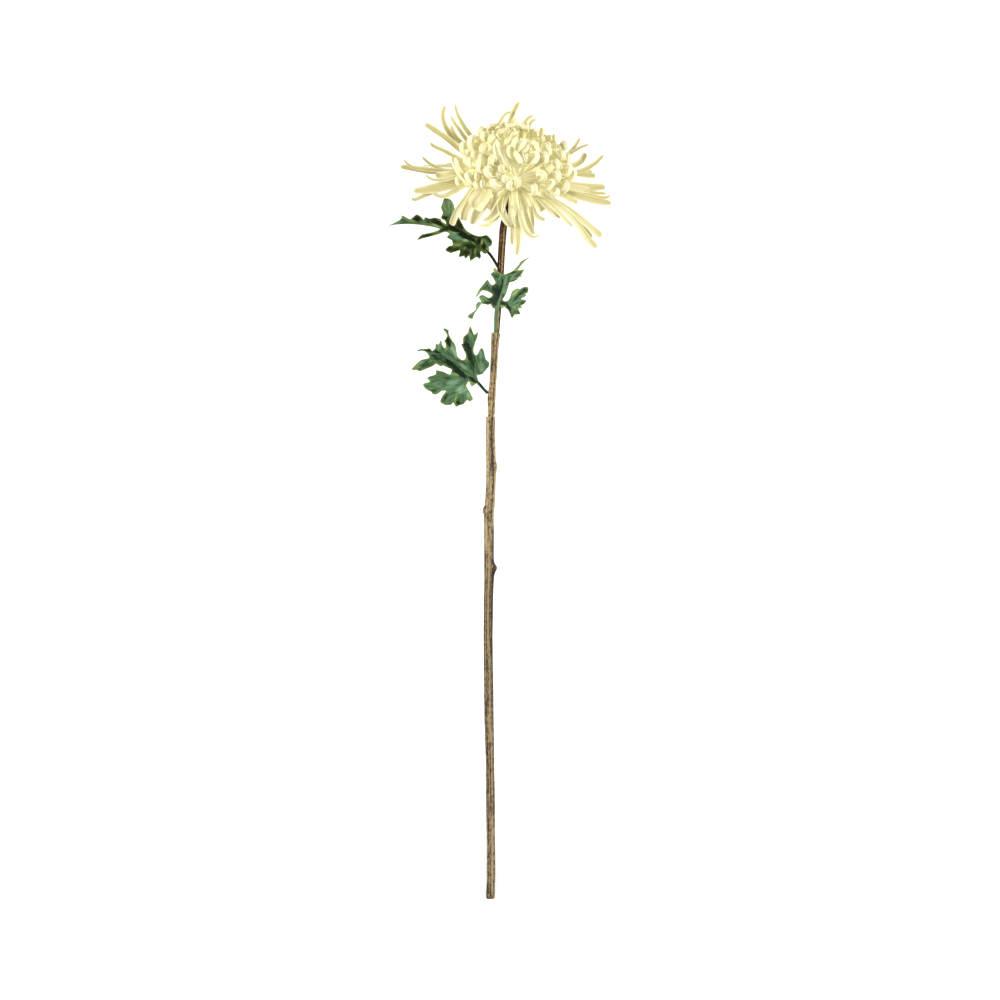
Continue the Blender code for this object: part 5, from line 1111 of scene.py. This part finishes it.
def under_skyline(knob, up, half_length):
    """The same place, let down until the floret's top is under the skyline."""
    column, row = seen_at(knob + np.array([0.0, half_length * abs(up[1]), 0.0]))
    over = np.interp(column, *SKYLINE) + 1.0 - row
    return knob - np.array([0.0, max(over, 0.0) * PX, 0.0])


def even_polar(share, inner, outer):
    """Polar angle of the place at a share of the dome's area between two angles."""
    return math.acos(math.cos(inner) + (math.cos(outer) - math.cos(inner)) * share)


def ruled_hooks(draw, taken):
    """Florets over the rest of the dome, turned by the golden angle and spread evenly by area."""
    result = []
    for k in range(HOOK_COUNT):
        share = (k + 0.5) / HOOK_COUNT
        polar = even_polar(share, HOOK_INNER, HOOK_OUTER)
        knob = dome(polar, k * GOLDEN_ANGLE, 1.0 + draw.uniform(-0.08, 0.03))
        width = (7.6 + 2.6 * min(share * 2.0, 1.0)) * MM * draw.uniform(0.85, 1.15)
        half_length = draw.uniform(5.0, 8.0) * MM
        lean, curl = draw.uniform(-0.7, 0.7), math.radians(draw.uniform(140.0, 220.0))
        if not in_view(knob) and all(np.linalg.norm(knob - other[0]) > HOOK_ROOM for other in taken):
            out, up = on_dome(draw, knob, lean, 0.9)
            knob = under_skyline(knob, up, half_length)
            result.append((knob, out, up, width, half_length, HOOK_DEPTH, curl, 0.0))
    return result


def make_head(finish):
    polars = [*np.radians([3, 12, 24, 36, 48, 60, 72, 84]), CORE_EDGE, 1.85, 2.02, CORE_FOOT]
    turns = round_angles(48)
    points = np.array([core(polar, -turn) for polar in polars[::-1] for turn in turns])
    marks = {"run": np.zeros(len(points)), "across": np.tile(np.sin(turns * 8), len(polars)),
             "tone_and_shade": np.ones(len(points)), "depth": np.full(len(points), 0.4), "inner": np.zeros(len(points))}
    grown("bloom_head", points, ring_faces(len(polars), len(turns)), finish, None, marks)


make_head(ivory)
petal_draw = random.Random(SEED)
hooks = placed_hooks(FRONT_HOOKS)
hooks += ruled_hooks(petal_draw, hooks)
incurved = Florets()
for hook in hooks:
    add_hook(incurved, petal_draw, *hook)
strap_draw = random.Random(SEED)
for width, tip, *places in FRONT_STRAPS:
    spots = [dome_front(column, row) for column, row, _ in places]
    spots = [spot + unit(spot - CENTRE) * over * MM for spot, (_, _, over) in zip(spots, places)]
    path = smooth_path(spots, toward_tip(FRONT_STATIONS))
    widths = swell(FRONT_STATIONS, 2.4 * MM, width * 1.1 * MM, tip * 1.15 * MM, 0.7, 0.5 * tip / 22.0)
    incurved.add(path, np.cross(path[-1] - path[0], TO_FRONT), widths, 1.5, widths * 0.6, 0.12 * MM, 0.2,
                 strap_draw.uniform(-0.2, 0.2), 13)
incurved.finish("florets_incurved", ivory, "bloom")

filling = Florets()
for k in range(FILL_COUNT):
    polar = even_polar((k + 0.5) / FILL_COUNT, FILL_INNER, HOOK_OUTER)
    knob = dome(polar, k * GOLDEN_ANGLE + FILL_TURN, FILL_SHARE + petal_draw.uniform(-0.04, 0.03))
    if in_view(knob) and (petal_draw.random() < 0.85 or seen_at(knob)[1] > PARTING[1] - 1.0):
        continue
    out, up = on_dome(petal_draw, knob, petal_draw.uniform(-0.8, 0.8), 1.0)
    knob = under_skyline(knob, up, 7.0 * MM)
    width, half_length = petal_draw.uniform(7.5, 10.0) * MM, petal_draw.uniform(5.0, 7.5) * MM
    curl = math.radians(petal_draw.uniform(150, 210))
    add_hook(filling, petal_draw, knob, out, up, width, half_length, HOOK_DEPTH * 0.8, curl, 0.0, 9)
for k in range(PARTED):
    direction = math.radians(-38.0 + 250.0 * (k + petal_draw.uniform(-0.3, 0.3)) / (PARTED - 1))
    below, bend = petal_draw.uniform(7.5, 10.0), petal_draw.uniform(-0.25, 0.25)
    spots = []
    for away in (3.0, 9.0, 18.0, 28.0, 38.0, 48.0, 58.0):
        turned = direction + bend * away / 50.0
        column, row = PARTING[0] + away * math.cos(turned), PARTING[1] - away * math.sin(turned)
        spot = dome_front(column, row)
        if spot[2] < CENTRE[2] + 4.0 * MM:
            break
        spots.append(spot - unit(spot - CENTRE) * (below + 8.0 * math.exp(-away / 9.0)) * MM)
    path = smooth_path(spots, FRONT_STATIONS)
    width = petal_draw.uniform(5.5, 8.0) * MM
    widths = width * np.linspace(0.55, 1.25, FRONT_STATIONS)
    facing = unit(spots[-1] - CENTRE)
    flip = -1.0 if petal_draw.random() < 0.4 else 1.0
    # These straps lie deep in the parting: their high tone_and_shade is painted shade
    filling.add(path, np.cross(path[-1] - path[0], facing) * flip, widths, 1.25, widths * 0.42,
                0.3 * MM, petal_draw.uniform(1.0, 1.9), petal_draw.uniform(-0.3, 0.3))
filling.finish("florets_inner", inner_ivory_painted_shade)


# Crown florets. The youngest ones, round the top of the dome: small, narrow and tightly curled, so
# that they stand as a ruff of little loops.
CROWN_PLACED = [
    (484.5, 132, 4.2, 3.6, 2.8, 10, -50, 0), (490, 127, 4.4, 3.8, 2.6, -8, -20, 0),
    (495.3, 127.6, 3.8, 3.4, 2.6, 8, -50, 0), (501, 127, 4.2, 3.4, 2.8, 10, 40, 0),
    (506, 126.8, 4.4, 3.6, 2.8, -10, -30, 0), (511, 127, 4, 3.6, 2.8, 10, 40, 0),
    (516, 125.4, 4.6, 5, 3.2, 5, 60, 0), (522.6, 129, 3.2, 6.2, 2.8, 2, -40, 0),
    (526.2, 129, 3.4, 6, 2.8, 6, 40, 0), (533, 133, 4.4, 4, 3.2, 0, 40, 0),
    (537.6, 135.4, 3.6, 3.4, 2.6, 0, 50, 0), (543, 132.6, 4, 4.6, 3, 6, 50, 0),
    (544, 139.6, 4.4, 2.6, 3, 0, 15, 0), (550.8, 139, 3.8, 3.4, 2.6, 10, 60, 0),
    (555, 137.6, 3, 3.6, 2.2, -6, 62, 0), (555, 144, 4, 3.6, 3, -20, 66, 0),
    (559.6, 148, 3.4, 3.4, 2.6, -15, 60, 0), (499.5, 133.5, 3.2, 2.8, 2.2, 12, -40, 1),
    (507, 132, 3.4, 2.8, 2.4, -12, 20, 0), (514.4, 131.4, 3.4, 2.8, 2.6, 0, 60, 0),
    (492.6, 132.6, 3.4, 3, 2.4, -10, -50, 1), (503.4, 135.6, 3.2, 2.6, 2.2, -8, 0, 1),
    (497.4, 137, 3.6, 2.8, 2.6, -10, -40, 0), (509.6, 134.6, 3.2, 2.2, 2.4, 20, 30, 0),
    (562, 146.4, 3.6, 3.6, 2.6, -10, 50, 0), (548, 146, 3.4, 3, 2.6, -20, 50, 0)]
CROWN_DEPTH = 2.4 * MM
CROWN_SPREAD = math.radians(42.0)
CROWN_TRIES = 110
CROWN_ROOM = 3.6 * MM

crown = Florets()
crown_draw = random.Random(SEED + 1)
taken = placed_hooks(CROWN_PLACED)
for hook in taken:
    add_hook(crown, crown_draw, *hook[:7], 0.0, 11)
for k in range(CROWN_TRIES):
    share = (k + 0.5) / CROWN_TRIES
    knob = dome(CROWN_SPREAD * math.sqrt(share), k * GOLDEN_ANGLE, 1.0 + crown_draw.uniform(-0.05, 0.08))
    width, half_length = crown_draw.uniform(3.6, 5.2) * MM, crown_draw.uniform(3.0, 4.6) * MM
    out, up = on_dome(crown_draw, knob, crown_draw.uniform(-0.9, 0.9), 1.2)
    knob = under_skyline(knob, up, half_length)
    column, row = seen_at(knob)
    # The placed florets fill these parts of the front
    if knob[2] > CENTRE[2] and (row > 137.0 or (516.0 < column < 548.0 or column < 500.0) and row > 132.0):
        continue
    if min(np.linalg.norm(knob - other[0]) for other in taken) > CROWN_ROOM:
        add_hook(crown, crown_draw, knob, out, up, width, half_length, CROWN_DEPTH,
                 math.radians(crown_draw.uniform(160, 240)), 0.0, 9)
crown.finish("florets_crown", crown_ivory_shade_and_glow)


# Ray florets. The oldest and longest ones, all round the foot of the dome: channelled straps that
# reach outwards, with blunt or thin, curled tips. Those behind lie on the surface.
# Width in mm, width at the tip, then pixel column, row and depth in mm from the dome to the tip
RAYS = [
    (5.6, 3.2, (452, 173, 6), (436, 172.3, 4), (418, 170, 3), (400.2, 166.9, 3)),
    (3.6, 1, (450, 172.5, 6), (430, 170.4, 8), (415, 168.4, 8), (408, 164.8, 7), (403.2, 159.2, 5)),
    (3.2, 1.4, (455, 172.5, -6), (441, 169.3, -8), (429, 163.2, -10), (421.8, 156.8, -10)),
    (3.4, 1.8, (458, 158, -12), (444, 150.5, -14), (434, 146, -15), (429.8, 142, -15)),
    (5, 3.4, (460, 149, -18), (449, 139.5, -20), (436, 130.5, -22), (424.8, 123.1, -22)),
    (5, 2, (462, 146, -24), (448, 131, -27), (442.3, 116, -30), (444.8, 104.3, -30)),
    (4.2, 1.4, (474, 140, -30), (464, 126, -33), (457, 112.5, -35), (455, 102.8, -36)),
    (3.6, 1.6, (468, 141, -26), (460, 130, -29), (453.5, 120.5, -30), (450.6, 114.3, -30)),
    (4.4, 1.8, (466, 147, -20), (457, 138, -24), (453, 130.5, -25), (450.9, 124.6, -25)),
    (8.4, 3.4, (470, 180, 14), (452, 185.5, 12), (430, 190, 10), (413.6, 191.5, 8)),
    (3.8, 2.2, (455, 186, 8), (432, 193, 5), (416, 199.6, 3), (411.4, 198.2, 3)),
    (3.2, 1, (458, 177.5, 18), (444, 180.8, 16), (432, 179.8, 14), (425.3, 175, 12)),
    (4.6, 1.2, (469, 184, 24), (456, 191.5, 24), (443, 197, 22), (431.5, 193.6, 20)),
    (7, 4, (463, 176, 12), (450, 176, 12), (441, 176, 10), (435.5, 174.5, 10)),
    (5.4, 4.8, (474, 189, 32), (465.5, 201, 33), (458, 212, 33), (452, 225.8, 30)),
    (6.2, 3.6, (478, 190, 36), (469.5, 203, 38), (464.3, 213, 37), (462.6, 221, 36)),
    (4.2, 3, (481, 192, 38), (473, 204, 40), (468, 213, 39), (465.6, 221.6, 37)),
    (14.5, 11, (488, 187, 44), (483, 196, 47.5), (478.6, 202.5, 48), (474.6, 209, 45)),
    (9.4, 3.4, (487, 194, 38), (482, 205, 41), (477, 214, 41), (471.3, 225, 40)),
    (6, 0.9, (497, 192, 43), (494.5, 203, 47), (493.3, 212, 47), (489, 218.3, 46), (482.6, 221, 44)),
    (7.6, 0.9, (505, 195, 45), (500, 205.5, 49), (494.8, 213.6, 49), (489, 219.4, 48), (482.8, 221.2, 45)),
    (4.8, 0.8, (506, 198, 43), (501.5, 210, 47), (495.5, 218.5, 48), (488.5, 225.6, 48), (478.4, 226.3, 45)),
    (9.6, 4.4, (501, 192, 41), (497.5, 203, 44), (493.6, 214, 44)),
    (2.6, 1.6, (504, 201, 49), (503, 209, 52), (501.8, 214.6, 51), (498.6, 214, 50)),
    (6.4, 4, (500.5, 198, 46), (501, 209, 50), (505.5, 220, 50), (513.6, 228.8, 48)),
    (3.8, 2.6, (511.8, 191, 45), (511, 206, 50), (511.2, 219, 50), (514.5, 228.3, 48)),
    (4.4, 2.6, (513.5, 200, 38), (512.8, 216, 42), (512.7, 232, 42), (512.3, 245.4, 41)),
    (6, 2.6, (516, 200, 42), (517.5, 222, 45), (518.8, 240, 45), (516.9, 256, 43)),
    (4.4, 1, (518, 200, 46), (520.5, 216, 52), (525, 230.5, 52), (532, 237.3, 50), (540.8, 234.3, 47)),
    (6.2, 3, (522, 196, 46), (525, 212, 50), (528, 224, 50), (533.4, 235, 46)),
    (5.2, 4.2, (514.5, 190, 49), (515.5, 202, 54), (517.2, 209.5, 54)),
    (6.6, 4, (514, 198, 46), (515.5, 210, 51), (517, 222, 50), (517.4, 229.3, 49)),
    (5.6, 3, (528, 197, 42), (529.5, 211, 45), (531, 222, 44), (531.4, 231, 42)),
    (4.4, 2.4, (527, 196, 40), (532.5, 210, 43), (537.5, 217.6, 42), (544.8, 221, 40)),
    (7, 5, (526, 193, 40), (534, 200, 42), (539, 206.5, 42), (542.4, 211.8, 40)),
    (5.2, 4.2, (524, 191, 46), (528.5, 199, 51), (531.8, 207, 50)),
    (5.8, 5.2, (541, 194, 36), (558, 204, 38), (573, 214, 37), (587, 226, 35), (600.9, 237.7, 32)),
    (5.6, 4.4, (543, 197, 38), (562, 209, 40), (575, 222, 38), (585, 237, 35), (596, 248.6, 33)),
    (4.8, 3.4, (556, 203, 34), (571, 216.5, 35), (582, 229, 33), (591.6, 238.6, 32)),
    (4, 2.2, (538, 196, 40), (550, 205, 42), (561, 216, 41), (571.7, 227.7, 38)),
    (3.8, 2.8, (536, 197, 41), (544, 205.5, 43), (552.5, 213.4, 42), (560, 218.3, 40)),
    (5.6, 4.6, (556, 193, 24), (566, 198, 24), (577.4, 203.7, 22)),
    (5.8, 3.2, (556, 191, 20), (575, 195.8, 20), (594, 201, 17), (611.2, 203.8, 14)),
    (4.4, 1.2, (560, 190, 14), (578, 194, 12), (598, 197.8, 9), (606, 197.7, 8), (610.6, 195.4, 7)),
    (3.6, 1.8, (560, 189, 8), (577, 191.5, 6), (593, 193.2, 4), (606.2, 194, 3)),
    (7.4, 3.8, (558, 185, 6), (576, 187, 4), (592, 188, 2), (605.2, 187.8, 0)),
    (6, 4.6, (560, 186, 26), (576, 189.6, 27), (589, 192, 25)),
    (5, 3.4, (562, 172, -4), (576, 173.6, -7), (587, 175.2, -9), (595.6, 175.9, -10)),
    (3.6, 2.4, (562, 171, -8), (575, 172.8, -11), (585, 172.8, -13), (592.3, 171, -14)),
    (4, 1.4, (562, 173, -2), (579, 171.5, -6), (592, 165.5, -9), (601.2, 157.5, -11), (603.3, 154, -11)),
    (5.2, 3.4, (558, 170, -8), (573, 166, -10), (582, 160.5, -12), (585.8, 152.7, -12)),
    (3.6, 1.4, (556, 163, -24), (568, 154.5, -28), (579, 148, -30), (589.4, 143.8, -31)),
    (3.8, 1.2, (553, 165, -28), (567, 155, -31), (574.5, 146.5, -33), (580.6, 136.6, -34)),
    (4.2, 3.6, (505, 135, -26), (509, 123, -31), (513.5, 112, -34), (519.3, 101.1, -35)),
    (3, 2.6, (493, 134, -24), (500, 122, -29), (505.5, 114, -31), (512, 111.2, -32)),
    (4.2, 2.6, (520, 136, -18), (523.5, 126, -26), (527.5, 119, -28), (533.4, 114.8, -28)),
    (3.8, 2.4, (524, 137, -17), (528, 129, -24), (531.2, 122.4, -26), (535.9, 118.2, -26))]
SHOWN_FACE = DOME_AXIS * 0.4 + TO_FRONT
RAY_START = (math.radians(98.0), math.radians(112.0))
RAY_STATIONS, BACK_STATIONS = 24, 20
# Painted shade on florets that reach out sideways, more on the left than the right: mm to the right,
# and tone_and_shade added
SIDE_SHADE = [(-58, -40, 86, 100), (0.75, 0.0, 0.0, 0.3)]
LOW_RAYS = at(0.0, 212.0)[1]            # not those that hang below this row
BACK_RAY_COUNT, BACK_RAY_FROM, BACK_RAY_SWEEP = 34, math.radians(78.0), math.radians(204.0)


def add_ray(florets, draw, path, side, widths):
    opening = 1.15 + 0.25 * np.sin(toward_tip(len(path)) * 5.0 + draw.uniform(0, 6))
    # Rays that reach behind the dome get painted shade through tone_and_shade, as do those aside
    behind = min(max(-path[-1, 2] / (30.0 * MM) + 0.3, 0.0), 1.0)
    side_shade = np.interp(path[-1, 0] / MM, *SIDE_SHADE) * (path[-1, 1] > LOW_RAYS)
    florets.add(path, side, widths, opening, widths * 0.42, -np.minimum(0.25 * MM, widths * 0.05),
                0.35 + 0.85 * behind + side_shade + draw.uniform(-0.2, 0.2), draw.uniform(-0.35, 0.35), 13)


def ray_path(places, stations):
    points = [at(*place) for place in places]
    polar, turn = dome_angles(points[0])
    root = core(min(max(polar, RAY_START[0]), RAY_START[1]), turn, ROOT_SHARE)
    return rest_on_surface(smooth_path([root] + points, stations))


def back_rays(draw):
    """Long florets under the lying bloom, bent along the surface that it rests on."""
    result = []
    for k in range(BACK_RAY_COUNT):
        turn = BACK_RAY_FROM + BACK_RAY_SWEEP * (k + 0.5) / BACK_RAY_COUNT
        polar = draw.uniform(*RAY_START)
        out = unit(dome(polar, turn) - CENTRE)
        length = draw.uniform(52.0, 62.0) * MM
        root = core(polar, turn, ROOT_SHARE)
        bend = (RIGHT * draw.uniform(-0.5, 0.5) - DOME_AXIS * draw.uniform(0.0, 0.6)) * length
        points = [root, root + out * length * 0.4, root + out * length * 0.7 + bend * 0.25,
                  root + out * length * 0.85 + bend * 0.6]
        path = rest_on_surface(smooth_path(points, BACK_STATIONS))
        column, row = seen_at(path)
        if row[-1] > 177.0 and not 446.0 < column[-1] < 560.0:      # these end behind the ones in front
            path = path[(row < 195.0) & (column > 449.0) & (column < 588.0)]
        path = smooth_path(path, toward_tip(BACK_STATIONS))
        result.append((path, draw.uniform(4.2, 6.4) * MM))
    return result


rays = Florets()
ray_draw = random.Random(SEED + 2)
for width, tip, *places in RAYS:
    path = ray_path(places, toward_tip(RAY_STATIONS))
    face = unit(SHOWN_FACE + RIGHT * ray_draw.uniform(-0.4, 0.4))
    widths = swell(RAY_STATIONS, 3.0 * MM, width * 1.12 * MM, min(tip * 1.35, width) * MM,
                   0.55 + 0.3 * (tip > 0.7 * width), max(0.04, 0.0016 * tip * tip))
    add_ray(rays, ray_draw, path, np.cross(face, path[-1] - path[0]), widths)
for path, width in back_rays(ray_draw):
    widths = swell(BACK_STATIONS, 3.0 * MM, width, width * 0.6)
    add_ray(rays, ray_draw, path, np.cross(DOME_AXIS, path[2] - path[0]), widths)
rays.finish("florets_ray", ray_ivory)


# The surface that the flower lies on, the soft light from the left and the right, and the camera,
# which looks straight down on the flower's front.
floor_mesh = bpy.data.meshes.new("surface")
floor_mesh.from_pydata([(-4, -4, 0), (4, -4, 0), (4, 4, 0), (-4, 4, 0)], [], [(0, 1, 2, 3)])
floor = put("surface", floor_mesh)
# White matt paper, which sends a little light back up under the flower
paper, paper_shader = new_material("white_paper")
wire(paper, paper_shader, {"Base Color": colour("F7F7F7"), "Roughness": 0.9, "Specular IOR Level": 0.0,
                           "Emission Color": colour("FFFFFF"), "Emission Strength": 0.2})
floor_mesh.materials.append(paper)

world = bpy.data.worlds.new("studio")
bpy.context.scene.world = world
world.use_nodes = True
wire(world, world.node_tree.nodes["Background"], {"Color": colour("FFFFFF"), "Strength": 0.74})


LIT_SPOT = (0.0, 0.1, 0.03)             # both lamps point here, by the lower leaf


def soft_light(name, side, size, power):
    lamp = bpy.data.lights.new(name, "AREA")
    lamp.shape = "DISK"
    lamp.size = size
    lamp.energy = power
    made = put(name, lamp)
    made.location = (side, 0.4, 1.0)
    run = Matrix.Translation(LIT_SPOT).translation - made.location
    made.rotation_euler = run.to_track_quat("-Z", "Y").to_euler()


soft_light("key_light", -2.1, 0.9, 54.0)
soft_light("fill_light", 2.1, 1.0, 48.5)

CAMERA_AWAY = 15.0
VIEW_WIDTH = 1000 * PX
SENSOR = 36.0
camera_data = bpy.data.cameras.new("camera")
camera_data.sensor_width = SENSOR
camera_data.lens = SENSOR * CAMERA_AWAY / VIEW_WIDTH
camera_data.clip_end = 50.0
camera = put("camera", camera_data)
camera.matrix_world = LAID @ Matrix.Translation((*at(500.0, 500.0)[:2], CAMERA_AWAY))
bpy.context.scene.camera = camera
bpy.context.scene.view_settings.view_transform = "Standard"
